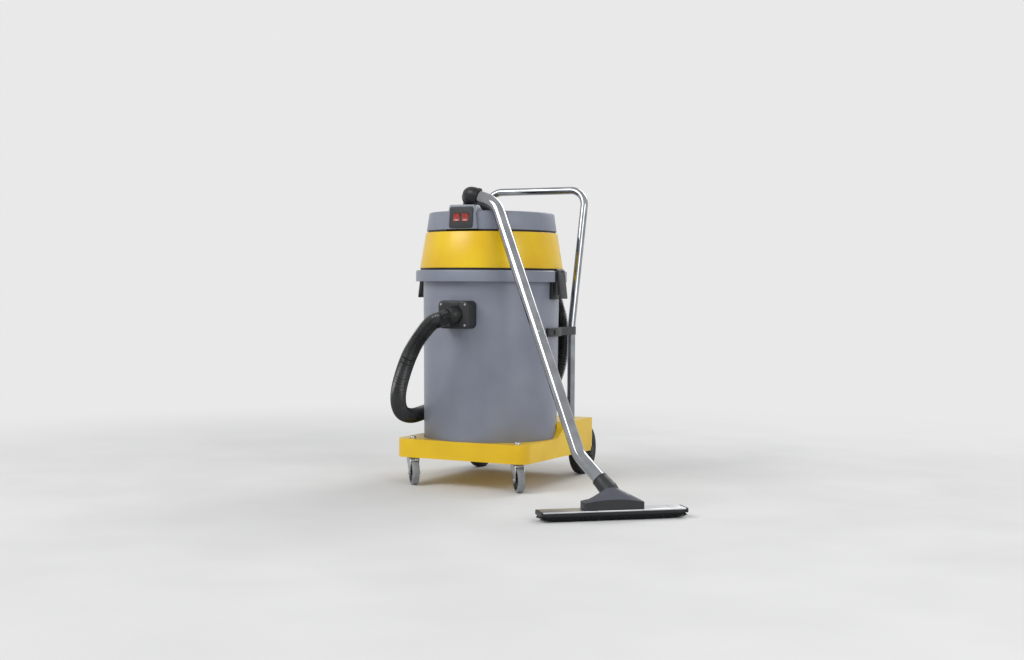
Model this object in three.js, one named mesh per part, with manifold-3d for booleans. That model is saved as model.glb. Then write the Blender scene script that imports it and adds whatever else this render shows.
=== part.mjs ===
// Wet and dry shop vacuum on a wheeled trolley, with its hose, wand and brush floor tool.
// Millimetres, +Z up. The tank's axis is x = y = 0 while it is built, and the floor is z = 0.
import * as THREE from "three";
import { mergeGeometries, mergeVertices } from "three/addons/utils/BufferGeometryUtils.js";
import Module from "manifold-3d";

const wasm = await Module();
wasm.setup();

// Shared clearances, and how finely round shapes are faceted
const gap = 0.3;
const overrun = 30;
const weld = 0.001;
const largeSides = 36;
const mediumSides = 20;
const wheelSides = 20;
const roundSides = 16;
const smallSides = 12;
const tubeSides = 10;
const bendSteps = 4;
const cornerSteps = 3;

// Trolley base
const baseHalfWidth = 226;
const baseFront = -217;
const baseRear = 320;
const baseWall = 5;
const skirtFrontHeight = 87;
const skirtRearHeight = 80;
const deckHeight = 144;
const shoulder = 9;
const frontCorner = 38;
const rearCorner = 24;
const boxHeight = 190;
const boxRiseStart = 8;
const boxRiseEnd = 104;
const boxRearRound = 26;
const boxShoulder = 7;
const wellFloor = 118;
const wellFloorThickness = 4;
const wellClearance = 1.2;
const casterBossRadius = 21;
const handleBossRadius = 17.5;
const pocketWallX = 162;
const pocketWallStart = 191;
const pocketClearance = 6;

// Rear wheels
const rearWheelRadius = 82.5;
const rearWheelWidth = 35;
const rearWheelX = 190.5;
const rearWheelY = 304;
const rearTyreDepth = 19;
const tyreRound = 7;
const hubRecess = 7;
const rearAxleRadius = 8;
const axleCapRadius = 12;
const axleCapLength = 16.5;

// Front casters
const casterX = 182;
const casterY = -178;
const casterTrail = 24;
const casterHeading = -0.863;
const casterRadius = 37.5;
const casterWidth = 22;
const casterTyreDepth = 8;
const casterAxleRadius = 4;
const casterAxleHead = 6.4;
const forkPlate = 3;
const forkCrownRadius = 22;
const forkLegRadius = 9.5;
const forkTop = 83;
const stemRadius = 5;
const stemHeadRadius = 9.5;
const stemHeadHeight = 6;
const racePlateRadius = 19;
const kingNutRadius = 8;
const kingNutHeight = 5;

// Tank
const tankBottomRadius = 211;
const tankTopRadius = 216;
const tankWall = 4;
const tankFoot = 14;
const rimRadius = 240;
const rimBottom = 635.4;
const rimTop = 670.5;
const rimNotchHalfWidth = 33.5;

// Inlet on the tank's front, and the cuff that the hose leaves by
const inletCentreX = 3;
const inletWidth = 104;
const inletBottom = 492;
const inletTop = 577;
const inletFront = 262;
const inletCorner = 14;
const inletChamfer = 6;
const cuffRadius = 27.5;
const cuffLength = 42;
const cuffSink = 15;
const cuffCollar = 2.2;
const cuffCollarLength = 14;
const inletMouth = new THREE.Vector3(5, -262, 533);
const inletHeading = new THREE.Vector3(-0.493, -0.825, -0.276).normalize();

// Push handle and the stays that tie it to the tank
const handleRadius = 12.5;
const handleWall = 1.5;
const handleX = 183;
const handleY = 222;
const handleFoot = 150;
const handleKnee = 494;
const handleTop = 945;
const handleLean = 0.2425;
const kneeRadius = 160;
const handleCorner = 55;
const stayTop = 492;
const stayHeight = 26;
const stayThickness = 10;
const stayStart = -11;
const stayEnd = 35;
const stayArmWidth = 17;
const stayRecess = 3;
const stayRecessHeight = 14;
const stayRecessLength = 26;

// Side latches
const latchWidth = 50;
const latchPlateBottom = 582;
const latchPlateFace = 226;
const latchPinX = 236.5;
const latchPinHeight = 668.5;
const latchPinRadius = 2.5;
const latchKnuckle = 8;
const latchCentreWidth = 16;
const leverBottom = 586;
const leverSplay = 10;
const leverThickness = 4.5;
const leverCheek = 7;

// Motor head
const sealHeight = 2.8;
const sealInner = 213;
const sealOuter = 226;
const headPlateLip = 2.8;
const headPlateFloor = 7;
const spigotHeight = 14;
const airHoleRadius = 22;
const bandBottomRadius = 227.6;
const bandTopRadius = 209;
const bandBottom = 677;
const bandTop = 789;
const headWall = 4;
const capRecessRadius = 203;
const capBottomRadius = 206.6;
const capTopRadius = 199;
const capBottom = 795;
const capTop = 852;
const capEdge = 5;
const slotCount = 9;
const slotWidth = 6;
const slotHeight = 58;
const slotSpacing = 6;
const slotHeading = 90;
const motorX = 73;
const fanRadius = 68;
const fanHeight = 52;
const motorRadius = 44;
const motorHeight = 92;
const glandHeading = 52;
const glandHeight = 712;
const glandFlange = 14;
const glandRadius = 9;
const glandStep = 6;
const glandTipRadius = 6.8;
const glandLength = 26;
const glandBore = 3.8;

// Filter and float under the head
const filterOuter = 86;
const filterInner = 60;
const filterHeight = 150;
const filterEndPlate = 8;
const pleatCount = 16;
const pleatDepth = 9;
const cageRadius = 38;
const cageWall = 3;
const cageHeight = 100;
const cageWindows = 4;
const cageWindowWidth = 20;
const cageRing = 12;
const ballRadius = 29;

// Switch housing on the head's front
const housingTopHalf = 44;
const housingBottomHalf = 55;
const housingTop = 870;
const housingFaceTop = 202;
const housingFaceBottom = 209;
const housingShelf = 172;
const housingBack = 150;
const housingKeel = 184;
const housingRound = 3;
const panelWidth = 80;
const panelHeight = 66;
const panelThickness = 3;
const panelCorner = 7;
const panelMiddle = 830.5;
const rockerWidth = 21.5;
const rockerRadius = 12.8;
const rockerSpacing = 30;
const rockerProud = 3.6;
const rockerDish = 2.4;
const rockerDepth = 10;
const rockerTilt = 7;
const pocketDepth = 13.6;

// Wand: where its bends lie, its tube and its top cuff
const wandRadius = 19;
const wandWall = 1.5;
const wandBend = 75;
const wandTop = new THREE.Vector3(42.7, -189, 896.5);
const wandUpperBend = new THREE.Vector3(104.5, -180, 875.5);
const wandLowerBend = new THREE.Vector3(503, -456, 161);
const elbowRadius = 24;
const elbowBend = 20;
const elbowRim = 8;
const elbowRise = 22;
const elbowReach = 40;
const elbowHeading = new THREE.Vector3(-0.438, 0.898, -0.25).normalize();
const elbowCollar = 2;
const elbowCollarLength = 9;
const wandInsertion = 10;
const wandJoint = 487;
const spigotLength = 60;
const buttonRadius = 4.2;
const buttonProud = 2.6;
const buttonBody = 11;
const buttonHeading = new THREE.Vector3(0.438, -0.898, 0.03);
const buttonSetback = 14;

// Floor tool, in its own frame: x along the bar, -y towards its front
const toolCentre = new THREE.Vector3(623, -504, 0);
const toolHeading = 40.5;
const barLength = 400;
const barDepth = 60;
const barTop = 28;
const barThickness = 4;
const barWebDepth = 9;
const barWebThickness = 2;
const barWebSetback = 14;
const endCapThickness = 6;
const endCapBottom = 15.2;
const brushDepth = 11;
const brushBackHeight = 9;
const strandCount = 66;
const strandRadius = 2.1;
const strandSides = 3;
const strandSplay = 1.045;
const strandEndLift = 8;
const strandLiftPower = 12;
const strandSplayPower = 6;
const hoodHalfLength = 85;
const hoodHalfDepth = 27;
const hoodBandEnd = 19;
const hoodBandMiddle = 28;
const hoodCorner = 10;
const hoodPoints = 20;
const collarRadius = 28;
const collarSetback = 20;
const collarHeight = 67;
const collarTilt = 40;
const collarTube = 10;
const neckSpigotRadius = 21.7;
const neckSpigotDepth = 18;
const neckRadius = 25.5;
const neckRise = 8;
const neckBend = 27;
const neckLength = 45;
const neckSocket = 22;
const airwayRadius = 15;
const airwaySides = 6;
const airwayDrop = 25;
const suctionHalfLength = 60;
const suctionHalfDepth = 10;
const suctionHeight = 16;

// Hose: diameter, ribs and the route of its centre line
const hoseRadius = 24;
const hoseRoot = 21.6;
const hoseBore = 14.5;
const hoseSides = 8;
const lowerRibs = 56;
const upperRibs = 24;
const splitReach = 33.6;
const samplesApart = 8;
const ringsPerBoreRing = 8;
const arcDivisions = 3000;

const fullTurn = Math.PI * 2;
const quarterTurn = Math.PI / 2;
const upward = new THREE.Vector3(0, 0, 1);
const toRadians = THREE.MathUtils.degToRad;

// Materials
const paint = (color, roughness, metalness = 0) =>
  new THREE.MeshStandardMaterial({ color, roughness, metalness });
const greyPlastic = paint(0x7f8390, 0.45);
const yellowPlastic = paint(0xe3b41f, 0.4);
const blackPlastic = paint(0x1b1c1e, 0.5);
const darkGreyPlastic = paint(0x4a4d55, 0.5);
const redPlastic = paint(0x9c2a20, 0.35);
const blackRubber = paint(0x141415, 0.8);
const greyRubber = paint(0x8a8c8e, 0.7);
const chromeSteel = paint(0xd6d8da, 0.12, 1);
const zincSteel = paint(0xa9adb2, 0.4, 1);
const aluminium = paint(0xc2c4c6, 0.35, 1);
const filterPaper = paint(0xe6e0d0, 0.9);
const bristle = paint(0x0e0e0f, 0.85);

// Turns a closed geometry into a solid that can be joined and cut
function solid(geometry) {
  const bare = geometry.clone();
  bare.deleteAttribute("normal");
  bare.deleteAttribute("uv");
  const merged = mergeVertices(bare, weld);
  const corners = merged.index.array;
  const kept = [];
  for (let i = 0; i < corners.length; i += 3) {
    const [a, b, c] = [corners[i], corners[i + 1], corners[i + 2]];
    if (a !== b && b !== c && c !== a) kept.push(a, b, c);
  }
  return new wasm.Manifold(
    new wasm.Mesh({
      numProp: 3,
      vertProperties: merged.attributes.position.array,
      triVerts: new Uint32Array(kept),
    }),
  );
}

// Turns a joined or cut solid back into a geometry
function geometryOf(body) {
  const { vertProperties, triVerts, numProp } = body.getMesh();
  const geometry = new THREE.BufferGeometry();
  geometry.setAttribute("position", new THREE.BufferAttribute(vertProperties, numProp));
  geometry.setIndex(new THREE.BufferAttribute(triVerts, 1));
  geometry.computeVertexNormals();
  return geometry;
}

const join = (first, ...others) => others.reduce((sum, next) => sum.add(solid(next)), solid(first));
const without = (body, ...cutters) => cutters.reduce((left, next) => left.subtract(solid(next)), body);
const carve = (geometry, ...cutters) => geometryOf(without(solid(geometry), ...cutters));

// A piece turned about +Z, from [radius, height] pairs listed up its outside
function turned(profile, sides = largeSides) {
  const points = profile.map(([radius, height]) => new THREE.Vector2(radius, height));
  return new THREE.LatheGeometry(points, sides).rotateX(quarterTurn);
}

// A closed ring or shell profile: its last point meets its first
const turnedRing = (profile, sides) => turned([...profile, profile[0]], sides);

// Stands a geometry made about +Z on a point, along a direction
function along(geometry, point, direction) {
  const turn = new THREE.Quaternion().setFromUnitVectors(upward, direction.clone().normalize());
  return geometry.applyQuaternion(turn).translate(point.x, point.y, point.z);
}

function rod(radius, length, sides = smallSides) {
  return turned([[0, 0], [radius, 0], [radius, length], [0, length]], sides);
}

// A cutter for a hole that a rod of this radius passes with the shared clearance
const holeFor = (radius, length, sides = smallSides) =>
  rod((radius + gap) / Math.cos(Math.PI / sides), length, sides);

function block(x0, x1, y0, y1, z0, z1) {
  const box = new THREE.BoxGeometry(x1 - x0, y1 - y0, z1 - z0);
  return box.translate((x0 + x1) / 2, (y0 + y1) / 2, (z0 + z1) / 2);
}

// An outline drawn in plan, extruded up from z = 0; a bevel rounds both of its rims
function extruded(shape, depth, bevel = 0, bevelSegments = 3) {
  return new THREE.ExtrudeGeometry(shape, {
    depth: depth - bevel * 2,
    bevelEnabled: bevel > 0,
    bevelSize: bevel,
    bevelOffset: -bevel,
    bevelThickness: bevel,
    bevelSegments,
    curveSegments: cornerSteps,
  }).translate(0, 0, bevel);
}

// An outline drawn in (y, z), extruded along +X from x = 0
function acrossX(geometry) {
  const basis = new THREE.Matrix4().makeBasis(
    new THREE.Vector3(0, 1, 0), new THREE.Vector3(0, 0, 1), new THREE.Vector3(1, 0, 0));
  return geometry.applyMatrix4(basis);
}

// An outline drawn in (x, z), extruded towards the front, -Y, from y = 0
function towardsFront(geometry) {
  const basis = new THREE.Matrix4().makeBasis(
    new THREE.Vector3(1, 0, 0), new THREE.Vector3(0, 0, 1), new THREE.Vector3(0, -1, 0));
  return geometry.applyMatrix4(basis);
}

// A rectangle with its own radius at each end: [low x, high x], [low y, high y], then corner radii
function roundedRect([x0, x1], [y0, y1], lowRadius, highRadius = lowRadius) {
  const shape = new THREE.Shape();
  shape.absarc(x0 + lowRadius, y0 + lowRadius, lowRadius, Math.PI, Math.PI * 1.5);
  shape.absarc(x1 - lowRadius, y0 + lowRadius, lowRadius, Math.PI * 1.5, fullTurn);
  shape.absarc(x1 - highRadius, y1 - highRadius, highRadius, 0, quarterTurn);
  shape.absarc(x0 + highRadius, y1 - highRadius, highRadius, quarterTurn, Math.PI);
  return shape;
}

const outline = (pairs) => new THREE.Shape(pairs.map(([x, y]) => new THREE.Vector2(x, y)));

// The same piece on the other side of the x = 0 plane
function mirrored(geometry) {
  const copy = geometry.clone().scale(-1, 1, 1);
  const plain = copy.index ? copy.toNonIndexed() : copy;
  const spots = plain.attributes.position;
  const flipped = new Float32Array(spots.array.length);
  for (let i = 0; i < spots.count; i += 3) {
    [0, 2, 1].forEach((from, to) => {
      const at = (i + from) * 3;
      flipped.set(spots.array.subarray(at, at + 3), (i + to) * 3);
    });
  }
  const result = new THREE.BufferGeometry();
  result.setAttribute("position", new THREE.BufferAttribute(flipped, 3));
  result.computeVertexNormals();
  return result;
}

// A path that is sampled only at the stations given
class Stations extends THREE.Curve {
  constructor(points) {
    super();
    this.points = points;
  }
  getPoint(share, target = new THREE.Vector3()) {
    return target.copy(this.points[Math.round(share * (this.points.length - 1))]);
  }
  getPointAt(share, target) {
    return this.getPoint(share, target);
  }
  getTangentAt(share, target = new THREE.Vector3()) {
    const last = this.points.length - 1;
    const index = Math.round(share * last);
    const before = this.points[Math.max(index - 1, 0)];
    const here = this.points[index];
    const after = this.points[Math.min(index + 1, last)];
    const arriving = here.clone().sub(before).normalize();
    const leaving = after.clone().sub(here).normalize();
    return target.copy(arriving).add(leaving).normalize();
  }
}

// The stations of a run that is straight between its corners and bent round them
function bentRun(corners, radii) {
  const stations = [corners[0].clone()];
  for (let i = 1; i < corners.length - 1; i++) {
    const corner = corners[i];
    const back = corners[i - 1].clone().sub(corner).normalize();
    const ahead = corners[i + 1].clone().sub(corner).normalize();
    const half = back.angleTo(ahead) / 2;
    const radius = radii[i - 1];
    const inward = back.clone().add(ahead).normalize();
    const centre = corner.clone().addScaledVector(inward, radius / Math.sin(half));
    const arm = corner.clone().addScaledVector(back, radius / Math.tan(half)).sub(centre);
    const end = corner.clone().addScaledVector(ahead, radius / Math.tan(half)).sub(centre);
    const axis = arm.clone().cross(end).normalize();
    const steps = Math.ceil((bendSteps * (Math.PI - half * 2)) / quarterTurn);
    for (let step = 0; step <= steps; step++) {
      const turn = ((Math.PI - half * 2) * step) / steps;
      stations.push(arm.clone().applyAxisAngle(axis, turn).add(centre));
    }
  }
  stations.push(corners[corners.length - 1].clone());
  return stations;
}

function circlePoints(radius, sides) {
  return Array.from({ length: sides }, (_, i) => {
    const turn = (fullTurn * i) / sides;
    return new THREE.Vector2(radius * Math.cos(turn), radius * Math.sin(turn));
  });
}

// A round tube, or a solid bar where the wall is 0, swept along stations
function tube(stations, radius, wall = 0, sides = tubeSides) {
  const section = new THREE.Shape(circlePoints(radius, sides));
  if (wall > 0) section.holes.push(new THREE.Path(circlePoints(radius - wall, sides)));
  return new THREE.ExtrudeGeometry(section, {
    steps: stations.length - 1,
    extrudePath: new Stations(stations),
  });
}

const pointAlong = (start, direction, distance) => start.clone().addScaledVector(direction, distance);

// Trolley base: one moulding with a deck, a raised rear box, a well for the tank and wheel pockets
function baseBlank(inset) {
  const bottom = skirtRearHeight - overrun;
  const deckTop = deckHeight - inset;
  const plan = roundedRect(
    [-baseHalfWidth + inset, baseHalfWidth - inset],
    [baseFront + inset, baseRear - inset],
    frontCorner - inset, rearCorner - inset);
  const rounding = inset > 0 ? 0 : 1;
  const deck = extruded(plan, deckTop - bottom, shoulder * rounding).translate(0, 0, bottom);

  const side = new THREE.Shape();
  const top = boxHeight - inset;
  const rear = baseRear - inset;
  const start = boxRiseStart + inset;
  side.moveTo(start - overrun, bottom);
  side.lineTo(rear, bottom);
  side.lineTo(rear, top - boxRearRound);
  side.absarc(rear - boxRearRound, top - boxRearRound, boxRearRound, 0, quarterTurn);
  side.lineTo(boxRiseEnd + inset, top);
  side.bezierCurveTo(
    boxRiseEnd - (boxRiseEnd - boxRiseStart) / 3 + inset, top,
    start + (boxRiseEnd - boxRiseStart) / 3, deckTop,
    start, deckTop);
  side.lineTo(start - overrun, deckTop - shoulder);
  const width = baseHalfWidth - inset;
  const box = acrossX(extruded(side, width * 2, boxShoulder * rounding, 2)).translate(-width, 0, 0);
  const trimmed = solid(box).intersect(
    solid(extruded(plan, boxHeight - bottom + overrun).translate(0, 0, bottom)));
  return solid(deck).add(trimmed);
}

function trolleyBase() {
  const wellRadius = tankBottomRadius + wellClearance;
  const wellWall = rod(wellRadius + headWall, boxHeight, largeSides)
    .translate(0, 0, wellFloor - wellFloorThickness);
  const cavity = without(baseBlank(baseWall), wellWall);
  let base = baseBlank(0).subtract(cavity);

  // Bosses inside: over each caster, and round each foot of the handle
  for (const side of [-1, 1]) {
    const boss = rod(casterBossRadius, deckHeight - baseWall / 2 - skirtFrontHeight, smallSides);
    base = base.add(solid(boss.translate(side * casterX, casterY, skirtFrontHeight)));
    const socketTop = boxHeight - baseWall / 2;
    const socketFoot = handleFoot - gap - baseWall;
    const socket = rod(handleBossRadius, socketTop - socketFoot, smallSides);
    base = base.add(solid(socket.translate(side * handleX, handleY, socketFoot)));
    const innerWall = block(
      side * pocketWallX - baseWall / 2, side * pocketWallX + baseWall / 2,
      pocketWallStart, baseRear - baseWall / 2, skirtRearHeight, boxHeight - baseWall / 2);
    base = base.add(solid(innerWall));
  }

  // Cuts: the well, the sloped lower edge, wheel pockets, axle notches, bolt and handle holes
  const well = rod(wellRadius, boxHeight, largeSides).translate(0, 0, wellFloor);
  const length = baseRear - baseFront;
  const slope = Math.atan((skirtFrontHeight - skirtRearHeight) / length);
  const under = block(-baseHalfWidth * 2, baseHalfWidth * 2, -length, length * 2, -boxHeight, 0)
    .rotateX(-slope)
    .translate(0, baseFront, skirtFrontHeight);
  const cutters = [well, under];
  for (const side of [-1, 1]) {
    const across = new THREE.Vector3(side, 0, 0);
    const pocketStart = new THREE.Vector3(
      side * (pocketWallX + baseWall / 2), rearWheelY, rearWheelRadius);
    const pocketLength = baseHalfWidth - baseWall - pocketWallX - baseWall / 2;
    cutters.push(along(rod(rearWheelRadius + pocketClearance, pocketLength, mediumSides),
      pocketStart, across));
    const notchStart = new THREE.Vector3(
      side * (baseHalfWidth - baseWall - overrun / 2), rearWheelY, rearWheelRadius);
    cutters.push(along(holeFor(axleCapRadius, overrun), notchStart, across));
    cutters.push(block(
      Math.min(notchStart.x, notchStart.x + side * overrun),
      Math.max(notchStart.x, notchStart.x + side * overrun),
      rearWheelY - axleCapRadius - gap, rearWheelY + axleCapRadius + gap, 0, rearWheelRadius));
    const wallStart = new THREE.Vector3(
      side * (pocketWallX - overrun / 2), rearWheelY, rearWheelRadius);
    cutters.push(along(holeFor(rearAxleRadius, overrun), wallStart, across));
    cutters.push(block(
      Math.min(wallStart.x, wallStart.x + side * overrun),
      Math.max(wallStart.x, wallStart.x + side * overrun),
      rearWheelY - rearAxleRadius - gap, rearWheelY + rearAxleRadius + gap, 0, rearWheelRadius));
    cutters.push(holeFor(stemRadius, boxHeight)
      .translate(side * casterX, casterY, 0));
    cutters.push(holeFor(handleRadius, boxHeight)
      .translate(side * handleX, handleY, handleFoot - gap));
  }
  return geometryOf(without(base, ...cutters));
}

// Rear wheels on one through axle
function rearTyre() {
  const half = rearWheelWidth / 2;
  const tread = rearWheelRadius;
  const shoulderRadius = tread - tyreRound;
  const inner = tread - rearTyreDepth;
  const land = half - tyreRound;
  return turnedRing([
    [inner, -half], [shoulderRadius, -half], [tread, -land], [tread, land],
    [shoulderRadius, half], [inner, half],
  ], wheelSides);
}

function rearHub() {
  const half = rearWheelWidth / 2;
  const outer = rearWheelRadius - rearTyreDepth - gap;
  const rim = outer - hubRecess;
  const boss = rearAxleRadius * 2;
  const web = half - hubRecess;
  const bore = rearAxleRadius + gap;
  return turnedRing([
    [bore, -half], [boss, -half], [rim, -web], [outer, -half],
    [outer, half], [rim, web], [boss, half], [bore, half],
  ], wheelSides);
}

function rearAxle() {
  const half = rearWheelX + rearWheelWidth / 2 + axleCapLength - baseWall;
  const start = new THREE.Vector3(-half, rearWheelY, rearWheelRadius);
  return along(rod(rearAxleRadius, half * 2), start, new THREE.Vector3(1, 0, 0));
}

function axleCap(side) {
  const inner = rearWheelX + rearWheelWidth / 2 + gap * 2;
  const seat = axleCapLength - baseWall;
  const cap = turned([
    [rearAxleRadius + gap, 0], [axleCapRadius, 0], [axleCapRadius, axleCapLength - gap * 4],
    [axleCapRadius - gap * 4, axleCapLength], [0, axleCapLength], [0, seat],
    [rearAxleRadius + gap, seat], [rearAxleRadius + gap, 0],
  ], smallSides);
  const start = new THREE.Vector3(side * inner, rearWheelY, rearWheelRadius);
  return along(cap, start, new THREE.Vector3(side, 0, 0));
}

// Casters, drawn about their swivel axis with the wheel trailing towards +X
function casterTyre() {
  const half = casterWidth / 2;
  const inner = casterRadius - casterTyreDepth;
  const round = casterTyreDepth / 2;
  const tyre = turnedRing([
    [inner, -half], [casterRadius - round, -half], [casterRadius, -half + round],
    [casterRadius, half - round], [casterRadius - round, half], [inner, half],
  ], roundSides);
  return along(tyre, new THREE.Vector3(casterTrail, 0, casterRadius), new THREE.Vector3(0, 1, 0));
}

function casterHub() {
  const half = casterWidth / 2;
  const outer = casterRadius - casterTyreDepth - gap;
  const bore = casterAxleRadius + gap;
  const boss = casterAxleRadius * 2;
  const recess = casterWidth / 5;
  const lip = outer - casterTyreDepth / 4;
  const hub = turnedRing([
    [bore, -half], [boss, -half], [lip, -half + recess], [outer, -half],
    [outer, half], [lip, half - recess], [boss, half], [bore, half],
  ], roundSides);
  return along(hub, new THREE.Vector3(casterTrail, 0, casterRadius), new THREE.Vector3(0, 1, 0));
}

function casterFork() {
  const inside = casterWidth / 2 + gap * 5;
  const outside = inside + forkPlate;
  const channel = outline([
    [-outside, 0], [-inside, 0], [-inside, forkTop - forkPlate], [inside, forkTop - forkPlate],
    [inside, 0], [outside, 0], [outside, forkTop], [-outside, forkTop],
  ]);
  const reach = casterTrail + forkCrownRadius * 2;
  const bent = acrossX(extruded(channel, reach * 2)).translate(-reach, 0, 0);
  const side = new THREE.Shape();
  side.moveTo(-forkCrownRadius, forkTop + overrun);
  side.lineTo(-forkCrownRadius, forkTop - forkLegRadius);
  side.lineTo(casterTrail - forkLegRadius, casterRadius);
  side.absarc(casterTrail, casterRadius, forkLegRadius, Math.PI, fullTurn);
  side.lineTo(casterTrail + forkLegRadius, forkTop - forkLegRadius * 2);
  side.lineTo(forkCrownRadius, forkTop + overrun);
  const leg = towardsFront(extruded(side, outside * 2 + overrun)).translate(0, outside + overrun / 2, 0);
  const axleStart = new THREE.Vector3(casterTrail, -outside - overrun / 2, casterRadius);
  const axleHole = along(holeFor(casterAxleRadius, outside * 2 + overrun),
    axleStart, new THREE.Vector3(0, 1, 0));
  const kingHole = holeFor(stemRadius, overrun).translate(0, 0, forkTop - overrun / 2);
  return geometryOf(without(solid(bent).intersect(solid(leg)), axleHole, kingHole));
}

function casterAxle() {
  const reach = casterWidth / 2 + gap * 6 + forkPlate;
  const end = reach + forkPlate;
  const pin = turned([
    [0, -end], [casterAxleHead, -end], [casterAxleHead, -reach], [casterAxleRadius, -reach],
    [casterAxleRadius, reach], [casterAxleHead, reach], [casterAxleHead, end], [0, end],
  ], smallSides);
  return along(pin, new THREE.Vector3(casterTrail, 0, casterRadius), new THREE.Vector3(0, 1, 0));
}

// The bolt through the deck, with the race plate above the fork and the nut below it
function casterStem() {
  const plateBottom = forkTop + gap;
  const plateTop = skirtFrontHeight - gap;
  const nutTop = forkTop - forkPlate - gap;
  const headBottom = deckHeight + gap;
  return turned([
    [0, nutTop - kingNutHeight], [kingNutRadius, nutTop - kingNutHeight], [kingNutRadius, nutTop],
    [stemRadius, nutTop], [stemRadius, plateBottom], [racePlateRadius, plateBottom],
    [racePlateRadius, plateTop], [stemRadius, plateTop], [stemRadius, headBottom],
    [stemHeadRadius, headBottom], [stemHeadRadius, headBottom + stemHeadHeight - forkPlate / 2],
    [stemHeadRadius - forkPlate / 2, headBottom + stemHeadHeight], [0, headBottom + stemHeadHeight],
  ], smallSides);
}

// Tank, open at the top, with a hollow turned-down rim that is notched for the latches
const tankRadiusAt = (height) => THREE.MathUtils.mapLinear(
  height, wellFloor, rimBottom, tankBottomRadius, tankTopRadius);

function tank() {
  const foot = wellFloor + gap;
  const inner = tankTopRadius - tankWall;
  const shell = turned([
    [0, foot + tankWall], [0, foot], [tankBottomRadius - tankFoot, foot],
    [tankBottomRadius, foot + tankFoot], [tankTopRadius, rimBottom],
    [tankTopRadius, rimTop - tankWall], [rimRadius - tankWall, rimTop - tankWall],
    [rimRadius - tankWall, rimBottom], [rimRadius, rimBottom], [rimRadius, rimTop],
    [inner, rimTop], [tankBottomRadius - tankWall, foot + tankFoot],
    [tankBottomRadius - tankFoot, foot + tankWall], [0, foot + tankWall],
  ]);
  const notches = [-1, 1].map((side) => {
    const inside = side * (tankTopRadius + tankWall);
    const outside = side * (rimRadius + overrun);
    return block(Math.min(inside, outside), Math.max(inside, outside),
      -rimNotchHalfWidth, rimNotchHalfWidth, rimBottom - overrun, rimTop + overrun);
  });
  return carve(shell, ...notches);
}

// Inlet block, shaped to the tank's wall, with a slanted socket for the hose cuff
function inletBlock() {
  const face = roundedRect(
    [inletCentreX - inletWidth / 2, inletCentreX + inletWidth / 2],
    [inletBottom, inletTop], inletCorner);
  const back = tankBottomRadius * Math.cos(Math.asin(inletWidth / 2 / tankBottomRadius)) - tankWall;
  const depth = inletFront - back;
  const body = towardsFront(extruded(face, depth, inletChamfer, 2)).translate(0, -back, 0);
  const wall = turned([
    [0, inletBottom - overrun], [tankRadiusAt(inletBottom - overrun) + gap, inletBottom - overrun],
    [tankRadiusAt(inletTop + overrun) + gap, inletTop + overrun], [0, inletTop + overrun],
  ]);
  const socket = along(holeFor(cuffRadius, cuffLength + overrun),
    pointAlong(inletMouth, inletHeading, -cuffSink), inletHeading);
  return carve(body, wall, socket);
}

function inletCuff() {
  const end = cuffLength;
  const flange = cuffSink + cuffCollarLength;
  const cuff = turnedRing([
    [hoseBore, gap], [cuffRadius, gap], [cuffRadius, cuffSink + cuffCollarLength],
    [cuffRadius - cuffCollar, flange + cuffCollar], [cuffRadius - cuffCollar, end - cuffCollar * 2],
    [cuffRadius, end - cuffCollar], [cuffRadius, end], [hoseBore, end],
  ], smallSides);
  return along(cuff, pointAlong(inletMouth, inletHeading, -cuffSink), inletHeading);
}

// Push handle: one tube, bent twice over the top and slightly at each knee
const handleTopY = handleY + (handleTop - handleKnee) * handleLean;

function pushHandle() {
  const corners = [
    new THREE.Vector3(-handleX, handleY, handleFoot),
    new THREE.Vector3(-handleX, handleY, handleKnee),
    new THREE.Vector3(-handleX, handleTopY, handleTop),
    new THREE.Vector3(handleX, handleTopY, handleTop),
    new THREE.Vector3(handleX, handleY, handleKnee),
    new THREE.Vector3(handleX, handleY, handleFoot),
  ];
  const radii = [kneeRadius, handleCorner, handleCorner, kneeRadius];
  return tube(bentRun(corners, radii), handleRadius, handleWall);
}

// A stay clasps the tank's side, then reaches back to a saddle on the handle's upright
function handleStay() {
  const inner = tankRadiusAt(stayTop) + gap;
  const outer = inner + stayThickness;
  const [start, end] = [toRadians(stayStart), toRadians(stayEnd)];
  const clasp = new THREE.Shape();
  clasp.absarc(0, 0, outer, start, end);
  clasp.absarc(0, 0, inner, end, start, true);
  const steps = { depth: stayHeight, bevelEnabled: false, curveSegments: cornerSteps * 2 };
  const band = new THREE.ExtrudeGeometry(clasp, steps);
  const armStart = new THREE.Vector2(inner * Math.cos(end), inner * Math.sin(end));
  const arm = new THREE.Vector2(handleX, handleY).sub(armStart);
  const turn = arm.angle() - quarterTurn;
  const armShape = roundedRect([0, stayArmWidth], [-stayThickness, arm.length()], stayThickness / 4);
  const armBar = extruded(armShape, stayHeight).rotateZ(turn).translate(armStart.x, armStart.y, 0);
  const lowest = stayTop - stayHeight;
  const whole = join(band, armBar).translate([0, 0, lowest]);
  const upright = holeFor(handleRadius, boxHeight)
    .translate(handleX, handleY, lowest - overrun);
  const wall = rod(inner, boxHeight, largeSides).translate(0, 0, lowest - overrun);
  const recess = block(outer - stayRecess, outer + overrun,
    -stayRecessLength, 0, stayTop - stayHeight / 2 - stayRecessHeight / 2,
    stayTop - stayHeight / 2 + stayRecessHeight / 2);
  return geometryOf(without(whole, upright, wall, recess));
}

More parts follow.
